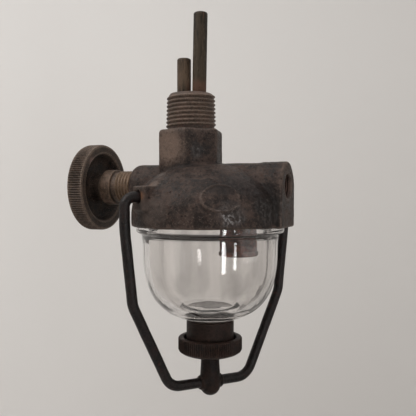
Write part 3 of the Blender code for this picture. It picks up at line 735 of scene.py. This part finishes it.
def knurl(
    bm: bmesh.types.BMesh,
    place: Matrix,
    teeth: int,
    depth: float,
    outer: float,
    low: float,
    high: float,
) -> None:
    """Presses straight grooves into the rim of a turned piece.

    Args:
        bm: the turned mesh.
        place: its placing matrix.
        teeth: grooves all round.
        depth: their depth in millimetres.
        outer: the rim's radius.
        low: where the grooves start along the axis.
        high: where they end.
    """
    back = place.inverted()
    band, blend, run_out = 0.9, 0.5, 0.35
    for vert in bm.verts:
        local = back @ vert.co
        radius = local.xy.length / MM
        height = local.z / MM
        if radius > outer - band and low < height < high:
            turn = math.atan2(local.y, local.x)
            groove = 0.5 - 0.5 * math.cos(turn * teeth)
            ends = min(height - low, high - height, run_out) / run_out
            near = min(max((radius - outer + band) / blend, 0.0), 1.0)
            share = 1 - depth * groove**0.7 * ends * near / radius
            vert.co = place @ Vector((local.x * share, local.y * share, local.z))


# ------------------------------------------------------------------ the object


@dataclass
class Casting:
    """Iron body: the CAD shape with eased corners, a raised oval and a cast skin."""

    voxel: float = 0.43
    oval_turn: float = math.radians(29)
    oval_radius: float = 26.8
    oval_height: float = 10.1
    oval_size: tuple[float, float] = (6.65, 4.45)
    oval_rim: float = 0.30
    oval_plate: float = 0.16
    skirt_bore: float = 25.8
    skirt_roof: float = 5.4
    thread_end: float = 12.85
    thread_root: float = 7.98
    thread_depth: float = 0.62
    port_root: float = 4.1

    def skin(self) -> bmesh.types.BMesh:
        """The CAD casting without its pipe thread, as one even skin.

        Returns:
            The mesh.
        """
        bm = bmesh.new()
        bm.from_mesh(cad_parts["valve_body"].data)
        bmesh.ops.remove_doubles(bm, verts=bm.verts, dist=1e-6)
        cut = bmesh.ops.bisect_plane(
            bm, geom=bm.verts[:] + bm.edges[:] + bm.faces[:], dist=1e-7,
            plane_co=(0, 0, -self.thread_end * MM), plane_no=(0, 0, 1), clear_outer=True,
        )
        edges = [item for item in cut["geom_cut"] if isinstance(item, bmesh.types.BMEdge)]
        bmesh.ops.triangle_fill(bm, edges=edges, use_beauty=True)
        return remesh(bm, self.voxel, 5)

    def oval(self, point: Vector) -> float:
        """Height of the raised oval and its edge.

        Args:
            point: a point on the casting, in metres.

        Returns:
            The height in millimetres.
        """
        across = (point - Vector((BOWL_X, 0.0, 0.0))) / MM
        turn = math.atan2(across.x, -across.y) - self.oval_turn
        side = turn * self.oval_radius / self.oval_size[0]
        up = (point.z - RIM_Z - self.oval_height * MM) / MM / self.oval_size[1]
        reach = math.hypot(side, up)
        if reach > 1.3 or abs(turn) > 0.6:
            return 0.0
        rim = math.exp(-(((reach - 0.93) / 0.075) ** 2))
        plate = min(max((1.0 - reach) / 0.06, 0.0), 1.0)
        return self.oval_rim * rim + self.oval_plate * plate

    def cast_skin(self, point: Vector) -> float:
        """Unevenness of the sand-cast surface.

        Args:
            point: a point on the casting, in metres.

        Returns:
            The height in millimetres.
        """
        broad = noise.noise(point / (5.5 * MM))
        fine = noise.noise(point / (1.25 * MM) + Vector((7, 3, 1)))
        return 0.11 * broad + 0.055 * fine

    def build(self) -> None:
        """Makes the casting and the thread of its neck."""
        bm = self.skin()
        bm.normal_update()
        bore, roof = self.skirt_bore * MM, RIM_Z + self.skirt_roof * MM
        moves = []
        for vert in bm.verts:
            across = Vector((vert.co.x - BOWL_X, vert.co.y)).length
            inside = across < bore and vert.co.z < roof
            lift = 0.0 if inside else self.oval(vert.co) + self.cast_skin(vert.co)
            moves.append(vert.normal * (lift * MM))
        for vert, move in zip(bm.verts, moves):
            vert.co += move
        low, high = CAD_BOX
        for vert in bm.verts:
            vert.co = Vector(max(min(c, top), base) for c, base, top in zip(vert.co, low, high))
        piece(
            "casting", bm, CASTING_FINISH.material(), Body.ROOT, ("valve_body",), worn=0.055
        )
        self.build_thread()
        self.build_port_thread()

    def build_thread(self) -> None:
        """Makes the tapered pipe thread."""
        root = self.thread_root
        outline = [
            (0, -14.5), (root + 0.45, -14.5), (root + 0.45, -12.5),
            (root + 0.02, -0.75), (root - 0.55, 0.0), (0, 0.0),
        ]
        bm = lathe(outline, 96, Matrix.Identity(4))
        soften(bm, 0.12, 30, 2)
        winding = ScrewThread(
            root, self.thread_depth, INLET_PITCH, -12.2, -0.6, taper=1 / 32, steps=64, fade=0.9
        )
        add_to(bm, winding.ridge(Matrix.Rotation(0.9, 4, "Z")))
        piece(
            "inlet_thread", bm, THREAD_FINISH.material(), Body.ROOT, ("valve_body",), worn=0.05
        )

    def build_port_thread(self) -> None:
        """Makes the female thread in the outlet port."""
        winding = ScrewThread(self.port_root, -0.32, PORT_PITCH, 29.0, 35.0, steps=40, fade=0.5)
        piece("port_thread", winding.ridge(ALONG_BARREL), THREAD_FINISH.material(), Body.ROOT)


@dataclass
class Standpipes:
    """Two tubes with rounded rims; the tall one leans a little."""

    outer: float = 2.5
    bore: float = 1.7
    bottom: float = -20.0
    bend: float = 0.5
    lean: float = math.tan(math.radians(1.1))
    places: tuple[tuple[str, float, float, int], ...] = (
        ("main_standpipe", 3.2, 28.7, 1),
        ("reserve_standpipe", -2.75, 12.9, 0),
    )

    def build(self) -> None:
        """Makes both tubes."""
        dressing = TUBE_FINISH.material()
        for name, x, top, leans in self.places:
            heights = [self.bottom, self.bend] + [
                self.bend + (top - self.bend) * share for share in (0.25, 0.5, 0.75)
            ]
            outline = [(self.outer, z) for z in heights]
            outline += [(self.outer, top - 0.55), (self.outer - 0.18, top - 0.16), (self.outer - 0.45, top)]
            outline += [(self.bore + 0.12, top), (self.bore, top - 0.15)]
            outline += [(self.bore, z) for z in reversed(heights)]
            bm = lathe(outline, 64, Matrix.Identity(4))
            for vert in bm.verts:
                rise = max(vert.co.z - self.bend * MM, 0.0)
                vert.co.x += x * MM + leans * self.lean * rise
            piece(name + "_tube", bm, dressing, Body.ROOT, (name,))


@dataclass
class ValveEnd:
    """Packing nut with its screwed length, and the stem through it."""

    collar_radius: float = 6.6
    collar_start: float = -34.5
    collar_end: float = -30.3
    bore: float = 3.12
    root: float = 5.55
    nose: float = -14.1
    hub: float = -35.0
    tip: float = -47.1

    def build(self) -> None:
        """Makes the packing nut and the stem."""
        outline = [
            (self.bore, self.collar_start), (self.collar_radius, self.collar_start),
            (self.collar_radius, self.collar_end), (self.root, self.collar_end),
            (self.root, -17.5), (4.5, -17.2), (4.5, self.nose), (self.bore, self.nose),
        ]
        bm = lathe(outline, 80, ALONG_BARREL)
        soften(bm, 0.35)
        winding = ScrewThread(self.root, 0.5, PACKING_PITCH, -29.0, -18.4, steps=56, fade=0.8)
        add_to(bm, winding.ridge(ALONG_BARREL))
        piece(
            "packing_nut_threaded", bm, COLLAR_FINISH.material(), Body.ROOT,
            ("packing_nut",), worn=0.05,
        )
        self.build_stem()

    def build_stem(self) -> None:
        """Makes the stem, with threads for the packing nut and for the wheel's nut."""
        outline = [
            (0, self.tip), (1.4, self.tip), (1.75, self.tip + 0.4), (1.75, -42.2), (2.4, -42.0),
            (2.4, self.hub), (2.75, self.hub + 0.3), (2.75, -20.0), (2.4, -19.7), (2.4, -5.3), (0, -5.3),
        ]
        bm = lathe(outline, 48, ALONG_BARREL)
        for thread in (
            ScrewThread(2.72, 0.26, SCREW_PITCH, -34.0, -21.0, steps=36, fade=0.6),
            ScrewThread(1.72, 0.26, WHEEL_NUT_PITCH, -46.4, -42.6, steps=28, fade=0.4),
        ):
            add_to(bm, thread.ridge(ALONG_BARREL))
        piece("valve_stem_threaded", bm, STEM_FINISH.material(), Body.WHEEL, ("valve_stem",))


@dataclass
class Handwheel:
    """Dished wheel with a fine straight knurl round its rim."""

    radius: float = 16.25
    inner: float = -36.0
    outer: float = -42.2
    dish: float = 12.8
    dish_depth: float = 3.6
    hub: float = 5.2
    hub_face: float = -35.2
    bore: float = 2.52
    knurl_depth: float = 0.42
    teeth: int = 115

    def build(self) -> None:
        """Makes the wheel."""
        floor = self.inner - self.dish_depth
        rim = [self.outer + 0.85 + (self.inner - self.outer - 1.7) * i / 5 for i in range(6)]
        outline = [
            (self.bore, self.outer), (7.0, self.outer), (8.0, self.outer + 0.45), (12.2, self.outer + 0.45),
            (13.2, self.outer), (self.radius - 0.8, self.outer), (self.radius - 0.25, self.outer + 0.22),
        ]
        outline += [(self.radius, x) for x in rim]
        outline += [
            (self.radius - 0.25, self.inner - 0.22), (self.radius - 0.8, self.inner),
            (self.dish + 0.5, self.inner), (self.dish, self.inner - 0.35),
            (self.dish - 1.0, floor + 1.3), (self.dish - 1.7, floor + 0.4), (self.dish - 3.0, floor),
            (self.hub + 1.5, floor), (self.hub + 0.5, floor + 0.35), (self.hub, floor + 1.2),
            (self.hub, self.hub_face - 0.4), (self.hub - 0.4, self.hub_face), (self.bore, self.hub_face),
        ]
        bm = lathe(outline, self.teeth * 4, ALONG_BARREL)
        ends = self.outer + 0.3, self.inner - 0.3
        knurl(bm, ALONG_BARREL, self.teeth, self.knurl_depth, self.radius, *ends)
        piece(
            "handwheel_knurled", bm, WHEEL_FINISH.material(), Body.WHEEL,
            ("handwheel",), worn=0.045,
        )


@dataclass
class Strainer:
    """Woven gauze cylinder with a turned cap."""

    middle: float = BOWL_X / MM + 10.5
    radius: float = 6.28
    top: float = RIM_Z / MM + 3.6
    bottom: float = RIM_Z / MM - 9.0
    cells: tuple[int, int] = (96, 32)
    wire: float = 0.20

    def build(self) -> None:
        """Makes the gauze and its cap."""
        place = Matrix.Translation((self.middle * MM, 0.0, 0.0))
        rows = self.cells[1]
        step = (self.top - self.bottom) / rows
        outline = [(self.radius, self.bottom + step * i) for i in range(rows + 1)]
        bm = lathe(outline, self.cells[0], place, closed=False)
        bmesh.ops.wireframe(
            bm, faces=bm.faces, thickness=self.wire * MM, use_even_offset=True,
            use_replace=True, use_boundary=True,
        )
        dressing = STRAINER_FINISH.material()
        piece("strainer_gauze_woven", bm, dressing, Body.ROOT)
        low = self.bottom - 0.1
        outline = [
            (0, low - 1.0), (6.1, low - 1.0), (6.6, low - 0.8), (6.75, low - 0.3),
            (6.75, low + 1.0), (6.4, low + 1.0), (6.4, low), (0, low),
        ]
        bm = lathe(outline, 64, place)
        soften(bm, 0.08, 40, 2)
        piece("strainer_cap_turned", bm, dressing, Body.ROOT, ("strainer_cap",))


@dataclass
class GlassBowl:
    """Moulded jar with a beaded rim, a squarish bottom and slightly uneven walls."""

    radius: float = 23.95
    inner: float = 21.9
    bead: float = 26.2
    rim: float = RIM_Z / MM
    power: float = 2.65
    step_radius: float = 10.6
    sway: float = 0.055

    def quarter(self, radius: float, start: float, end: float, steps: int) -> Outline:
        """Points of a squarish quarter curve from the wall's foot to the axis.

        Args:
            radius: the wall's radius.
            start: height of the wall's foot.
            end: height on the axis.
            steps: stretches along the curve.

        Returns:
            The points.
        """
        points = []
        for i in range(steps + 1):
            turn = math.pi / 2 * i / steps
            across = radius * max(math.cos(turn), 0.0) ** (2 / self.power)
            drop = (start - end) * math.sin(turn) ** (2 / self.power)
            points.append((across if i < steps else 0.0, start - drop))
        return points

    def outline(self) -> Outline:
        """Half section of the jar, rim first.

        Returns:
            The points.
        """
        top = self.rim + 3.2
        bead = self.rim - 2.1
        points = [
            (self.inner + 0.9, top), (self.bead - 0.7, top), (self.bead - 0.2, top - 0.2),
            (self.bead, top - 0.7), (self.bead, bead + 0.8), (self.bead - 0.15, bead + 0.35),
            (self.bead - 0.55, bead + 0.05), (self.radius + 1.05, bead - 0.25),
            (self.radius + 0.5, bead - 0.7), (self.radius + 0.3, bead - 1.6),
            (self.radius + 0.1, bead - 3.4),
        ]
        pivot = PIVOT_Z / MM
        for radius, height in self.quarter(self.radius, self.rim - 7.3, self.rim - 33.35, 30):
            seat = pivot - math.sqrt(CONTACT_RADIUS**2 - radius**2)
            points.append((radius, max(height, seat)))
        step, disc = self.step_radius, self.rim - 28.6
        inner = self.quarter(self.inner, self.rim - 8.5, self.rim - 30.9, 28)
        points += [(0.0, disc), (step - 1.2, disc), (step - 0.5, disc - 0.15)]
        points += [(step, disc - 0.7), (step + 0.5, disc - 1.6)]
        points += [point for point in reversed(inner) if point[0] > step + 1.2]
        points += [(self.inner, self.rim - 3.0), (self.inner + 0.15, top - 0.8)]
        return points

    def build(self) -> None:
        """Makes the jar."""
        bm = lathe(self.outline(), 144)
        for vert in bm.verts:
            across = vert.co.xy - Vector((BOWL_X, 0.0))
            reach = across.length
            if 2 * MM < reach and vert.co.z < RIM_Z - 3 * MM:
                turn = math.atan2(across.y, across.x)
                point = Vector((math.cos(turn) * 2.4, math.sin(turn) * 2.4, vert.co.z / (22 * MM)))
                drift = noise.noise(point + Vector((0, 0, reach * 40)))
                sway = -self.sway * MM * (0.5 + 0.5 * drift)
                vert.co.x += across.x / reach * sway
                vert.co.y += across.y / reach * sway
        piece("glass_jar", bm, GlassFinish().material(), Body.ROOT, ("glass_bowl",))


@dataclass
class Bail:
    """Bent wire loop, and the stud that its foot passes through."""

    wire: float = 1.85
    pivot: float = PIVOT_Z / MM
    rim: float = RIM_Z / MM
    grip: float = 24.1
    rear: tuple[float, float, float] = (34.8, 31.7, 16.4)
    front: tuple[float, float, float] = (33.6, 30.7, 16.5)
    rise: float = 1.6
    radii: tuple[float, ...] = (3.4, 60.0, 9.0, 6.5)
    scale_loss: float = 0.07
    ball: float = 3.7
    shank: float = 4.2
    place: Matrix = field(default_factory=lambda: UPRIGHT @ Matrix.Rotation(BAIL_TURN, 4, "Z"))

    def corners(self) -> list[Vector]:
        """Corners of the wire from the rear lug to the front one.

        Returns:
            The corners, in metres.
        """
        arms = []
        for arm, side, lift in ((self.rear, 1, 0.0), (self.front, -1, self.rise)):
            reach, shoulder, foot = arm
            heights = (
                (self.grip, self.pivot), (reach, self.pivot), (reach - 0.1, self.rim),
                (shoulder, self.rim - 25.4), (foot, self.rim - 56.4 + lift),
            )
            arms.append([Vector((side * x, 0.0, z)) * MM for x, z in heights])
        return arms[0] + arms[1][::-1]

    def sweep(self) -> bmesh.types.BMesh:
        """Draws the wire out along its straights and round its bends.

        Returns:
            The closed wire.
        """
        corners = self.corners()
        radii = self.radii + self.radii[::-1]
        bm = bmesh.new()
        here = corners[0]
        ahead = (corners[1] - here).normalized()
        turn = Vector((0, 0, 1)).rotation_difference(ahead).to_matrix().to_4x4()
        disc = bmesh.ops.create_circle(
            bm, cap_ends=True, segments=24, radius=self.wire * MM,
            matrix=Matrix.Translation(here) @ turn,
        )
        front = list({edge for vert in disc["verts"] for edge in vert.link_edges})
        for before, corner, after, radius in zip(corners, corners[1:], corners[2:], radii):
            into = (corner - before).normalized()
            out = (after - corner).normalized()
            angle = into.angle(out)
            start = corner - into * radius * MM * math.tan(angle / 2)
            front = self.straight(bm, front, start - here)
            centre = corner + (out - into).normalized() * radius * MM / math.cos(angle / 2)
            made = bmesh.ops.spin(
                bm, geom=front, cent=centre, axis=into.cross(out).normalized(), angle=angle,
                steps=max(3, math.ceil(math.degrees(angle) / 6)), use_merge=False,
            )
            front = [item for item in made["geom_last"] if isinstance(item, bmesh.types.BMEdge)]
            here = corner + out * radius * MM * math.tan(angle / 2)
        front = self.straight(bm, front, corners[-1] - here)
        bmesh.ops.edgeloop_fill(bm, edges=front)
        bmesh.ops.remove_doubles(bm, verts=bm.verts, dist=1e-7)
        bmesh.ops.recalc_face_normals(bm, faces=bm.faces)
        return bm

    def straight(
        self, bm: bmesh.types.BMesh, front: list[bmesh.types.BMEdge], move: Vector
    ) -> list[bmesh.types.BMEdge]:
        """Extrudes the wire's open end.

        Args:
            bm: the wire.
            front: edges of its open end.
            move: how far and where to.

        Returns:
            The new end's edges.
        """
        pieces = max(1, round(move.length / (3 * MM)))
        for _ in range(pieces):
            made = bmesh.ops.extrude_edge_only(bm, edges=front)["geom"]
            verts = {item for item in made if isinstance(item, bmesh.types.BMVert)}
            bmesh.ops.translate(bm, verts=list(verts), vec=move / pieces)
            edges = [item for item in made if isinstance(item, bmesh.types.BMEdge)]
            front = [edge for edge in edges if verts.issuperset(edge.verts)]
        return front

    def build(self) -> None:
        """Makes the wire and the stud."""
        bm = self.sweep()
        for vert in bm.verts:
            dent = noise.noise(vert.co / (4 * MM)) * 0.06 + noise.noise(vert.co / (1.1 * MM)) * 0.03
            vert.co += vert.normal * (dent - self.scale_loss) * MM
        bmesh.ops.transform(bm, matrix=self.place, verts=bm.verts)
        piece("bail_loop", bm, BAIL_FINISH.material(), Body.BAIL, ("bail_wire",))
        self.build_stud()

    def build_stud(self) -> None:
        """Makes the stud: threaded above, waisted, with a ball round the wire."""
        low = self.rim - 56.8
        waist_top = self.rim - 46.0
        outline = [(0.0, low - self.ball)]
        for i in range(1, 9):
            turn = math.pi / 2 * (i / 8 - 1)
            outline.append((self.ball * math.cos(turn), low + self.ball * math.sin(turn)))
        outline += [
            (3.72, low + 1.6), (3.62, low + 3.4), (3.45, low + 6.0), (3.32, low + 8.2),
            (3.3, waist_top), (0.0, waist_top),
        ]
        bm = lathe(outline, 48)
        foot = self.corners()[4:6]
        slope = (foot[0] - foot[1]).normalized()
        middle = foot[1] + slope * (-foot[1].x / slope.x)
        turn = Vector((0, 0, 1)).rotation_difference(slope).to_matrix().to_4x4()
        flare = [
            (0, -4.6), (2.25, -4.6), (2.55, -4.2), (2.6, -3.0), (2.6, 3.0),
            (2.55, 4.2), (2.25, 4.6), (0, 4.6),
        ]
        add_to(bm, lathe(flare, 40, self.place @ Matrix.Translation(middle) @ turn))
        bm = remesh(bm, 0.22, 6)
        top = self.rim - 41.9
        shank = [
            (0, waist_top - 0.2), (3.35, waist_top - 0.2), (self.shank, waist_top + 0.7),
            (self.shank, top), (0, top),
        ]
        add_to(bm, lathe(shank, 64))
        winding = ScrewThread(
            self.shank, 0.36, SCREW_PITCH, self.rim - 44.7, top - 0.5, steps=48, fade=0.6
        )
        add_to(bm, winding.ridge(UPRIGHT))
        piece(
            "clamp_stud_forged", bm, CLAMP_FINISH.material(), Body.BAIL, ("clamp_stud",),
            worn=0.04,
        )


@dataclass
class Clamp:
    """Knurled thumb nut and the cup that it carries."""

    rim: float = RIM_Z / MM
    nut_radius: float = 11.4
    nut_bore: float = 4.72
    knurl_depth: float = 0.32
    teeth: int = 88
    cup_radius: float = 8.45
    pad: float = 0.6

    def build(self) -> None:
        """Makes the nut and the cup."""
        self.build_nut()
        self.build_cup()

    def build_nut(self) -> None:
        """Makes the thumb nut."""
        top = self.rim - 39.3
        bottom = self.rim - 45.8
        radius = self.nut_radius
        side = [bottom + 2.2 + (top - 0.6 - bottom - 2.2) * i / 4 for i in range(5)]
        outline = [
            (self.nut_bore, top - 2.0), (9.0, top - 2.0), (9.15, top - 1.8), (9.5, top - 0.25), (9.8, top),
            (radius - 0.7, top), (radius - 0.2, top - 0.2),
        ]
        outline += [(radius, z) for z in reversed(side)]
        outline += [
            (radius - 0.35, bottom + 1.5), (radius - 1.2, bottom + 0.9), (radius - 2.6, bottom + 0.35),
            (radius - 4.3, bottom), (5.2, bottom), (self.nut_bore, bottom + 0.4),
        ]
        bm = lathe(outline, self.teeth * 4)
        knurl(bm, UPRIGHT, self.teeth, self.knurl_depth, radius, bottom + 1.7, top - 0.15)
        piece(
            "thumb_nut_knurled", bm, CLAMP_FINISH.material(), Body.NUT, ("thumb_nut",),
            worn=0.07,
        )

    def build_cup(self) -> None:
        """Makes the cup."""
        foot = self.rim - 41.0
        pivot = PIVOT_Z / MM
        top = pivot - math.sqrt((CONTACT_RADIUS + self.pad) ** 2 - self.cup_radius**2)
        ledge = pivot - 45.75
        roof = ledge - 1.0
        radius = self.cup_radius
        outline = [
            (radius - 1.3, foot), (radius - 0.25, foot), (radius, foot + 0.3), (radius, top - 0.25),
            (radius - 0.25, top), (radius - 0.95, top), (radius - 1.0, ledge), (0, ledge),
            (0, roof), (radius - 1.9, roof), (radius - 1.4, roof - 0.4), (radius - 1.3, roof - 0.9),
        ]
        bm = lathe(outline, 96)
        piece(
            "clamp_cup_turned", bm, CLAMP_FINISH.material(), Body.CUP, ("clamp_cup",),
            worn=0.06,
        )


@dataclass
class CarriedNodes:
    """CAD nodes whose shape is right already; they only get their finish."""

    finishes: dict[MetalFinish | SoftFinish, tuple[str, ...]] = field(default_factory=lambda: {
        BRASS_FINISH: ("valve_plunger", "disc_screw", "valve_seat", "packing_washer"),
        PACKING_FINISH: ("packing_ring_outer", "packing_ring_inner"),
        RUBBER_FINISH: ("valve_disc",),
        CORK_FINISH: ("bowl_gasket", "cup_pad"),
        STRAINER_FINISH: ("strainer_ferrule", "strainer_gauze"),
        STEM_FINISH: ("wheel_washer", "wheel_nut"),
    })

    def dress(self) -> None:
        """Puts a finish on each node."""
        for finish, names in self.finishes.items():
            dressing = finish.material()
            for name in names:
                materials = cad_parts[name].data.materials
                materials.clear()
                materials.append(dressing)
                LOG.info("%s: %s", name, dressing.name)


# ------------------------------------------------------------------ studio


@dataclass
class Studio:
    """Pale round backdrop, soft lights and the camera."""

    wall: float = 0.42
    floor: float = -0.42
    top: float = 0.34
    cove: float = 0.14
    azimuth: float = 22.0
    distance: float = 0.210
    lens: float = 51.06
    eye: float = RIM_Z + 11.5 * MM
    pitch: float = 1.37
    yaw: float = 0.21
    sky: float = 0.68
    sky_tint: Colour = (1.0, 0.985, 0.97)
    pale: Colour = (0.80, 0.785, 0.77)
    shaded: Colour = (0.56, 0.545, 0.53)
    lights: tuple[tuple[str, float, float, float, tuple[float, float], float, Colour], ...] = (
        ("key", -42.0, 48.0, 0.40, (0.24, 0.24), 0.95, (1.0, 0.985, 0.96)),
        ("top", 20.0, 80.0, 0.40, (0.30, 0.30), 0.45, (1.0, 0.99, 0.98)),
        ("fill", 92.0, 10.0, 0.39, (0.24, 0.30), 0.20, (1.0, 0.98, 0.96)),
        ("strip_near", 43.0, -5.0, 0.38, (0.032, 0.20), 0.26, (1.0, 1.0, 1.0)),
        ("strip_far", 63.0, -11.0, 0.38, (0.028, 0.07), 0.08, (1.0, 1.0, 1.0)),
    )

    def backdrop(self) -> None:
        """Makes the floor and the wall as one smooth surface, with painted shade that darkens it towards
        the right and the bottom.
        """
        outline = [(0.0, self.floor), (self.wall - self.cove, self.floor)]
        for i in range(1, 13):
            turn = math.pi / 2 * i / 12
            across = self.wall - self.cove * (1 - math.sin(turn))
            outline.append((across, self.floor + self.cove * (1 - math.cos(turn))))
        outline.append((self.wall, self.top))
        bm = lathe([(r / MM, z / MM) for r, z in outline], 96, UPRIGHT, closed=False)
        bmesh.ops.reverse_faces(bm, faces=bm.faces)
        g = Graph("backdrop_paper")
        # painted shade: the colour runs from pale to shaded towards the right of the view and downwards,
        # standing in for light falling off across the backdrop
        a = math.radians(self.azimuth)
        sockets = {0: g.at, 1: Vector((math.cos(a), math.sin(a), -0.15))}
        side = g.add("ShaderNodeVectorMath", {"operation": "DOT_PRODUCT"}, sockets, output=1)
        g.feed("Base Color", g.blend(side.span(-0.30, 0.42), self.pale, self.shaded))
        g.feed("Roughness", 0.9)
        g.feed("Specular IOR Level", 0.2)
        mesh = bpy.data.meshes.new("backdrop")
        bm.to_mesh(mesh)
        bm.free()
        mesh.shade_smooth()
        mesh.materials.append(g.material)
        obj = bpy.data.objects.new("backdrop", mesh)
        bpy.context.scene.collection.objects.link(obj)

    def lamp(
        self,
        name: str,
        azimuth: float,
        height: float,
        away: float,
        size: tuple[float, float],
        power: float,
        colour: Colour,
    ) -> None:
        """Adds one area light aimed at the middle of the object.

        Args:
            name: the light's name.
            azimuth: where it stands round the object, in degrees.
            height: its angle above the horizon.
            away: its distance in metres.
            size: its width and height.
            power: watts.
            colour: its tint.
        """
        data = bpy.data.lights.new(name, "AREA")
        data.shape = "RECTANGLE"
        data.size, data.size_y = size
        data.energy = power
        data.color = colour
        lamp = bpy.data.objects.new(name, data)
        lamp.visible_camera = False
        a, e = math.radians(azimuth), math.radians(height)
        aim = Vector((BOWL_X, 0.0, RIM_Z))
        spot = aim + away * Vector((math.sin(a) * math.cos(e), -math.cos(a) * math.cos(e), math.sin(e)))
        facing = (spot - aim).to_track_quat("Z", "Y").to_matrix().to_4x4()
        lamp.matrix_world = Matrix.Translation(spot) @ facing
        bpy.context.scene.collection.objects.link(lamp)

    def camera(self) -> None:
        """Adds the camera, level with the casting and a little to the right."""
        data = bpy.data.cameras.new("camera")
        data.lens = self.lens
        data.sensor_width = 36.0
        data.clip_start = 0.01
        cam = bpy.data.objects.new("camera", data)
        bpy.context.scene.collection.objects.link(cam)
        a = math.radians(self.azimuth)
        spot = Vector((BOWL_X + self.distance * math.sin(a), -self.distance * math.cos(a), self.eye))
        base = Matrix.Rotation(a, 4, "Z") @ Matrix.Rotation(math.pi / 2, 4, "X")
        turn = Matrix.Rotation(math.radians(self.yaw), 4, "Y")
        turn = turn @ Matrix.Rotation(math.radians(-self.pitch), 4, "X")
        cam.matrix_world = Matrix.Translation(spot) @ base @ turn
        bpy.context.scene.camera = cam

    def build(self) -> None:
        """Sets up the backdrop, lights, sky and camera."""
        self.backdrop()
        for light in self.lights:
            self.lamp(*light)
        world = bpy.data.worlds.new("sky")
        bpy.context.scene.world = world
        world.use_nodes = True
        sky = world.node_tree.nodes["Background"]
        sky.inputs["Color"].default_value = (*self.sky_tint, 1.0)
        sky.inputs["Strength"].default_value = self.sky
        bpy.context.scene.view_settings.view_transform = "Standard"
        self.camera()


def main() -> None:
    """Builds the object and its studio."""
    logging.basicConfig(level=logging.INFO, format="%(message)s")
    Studio().build()
    for part in (Casting, Standpipes, ValveEnd, Handwheel, Strainer, GlassBowl, Bail, Clamp):
        part().build()
    CarriedNodes().dress()


if __name__ == "__main__":
    main()
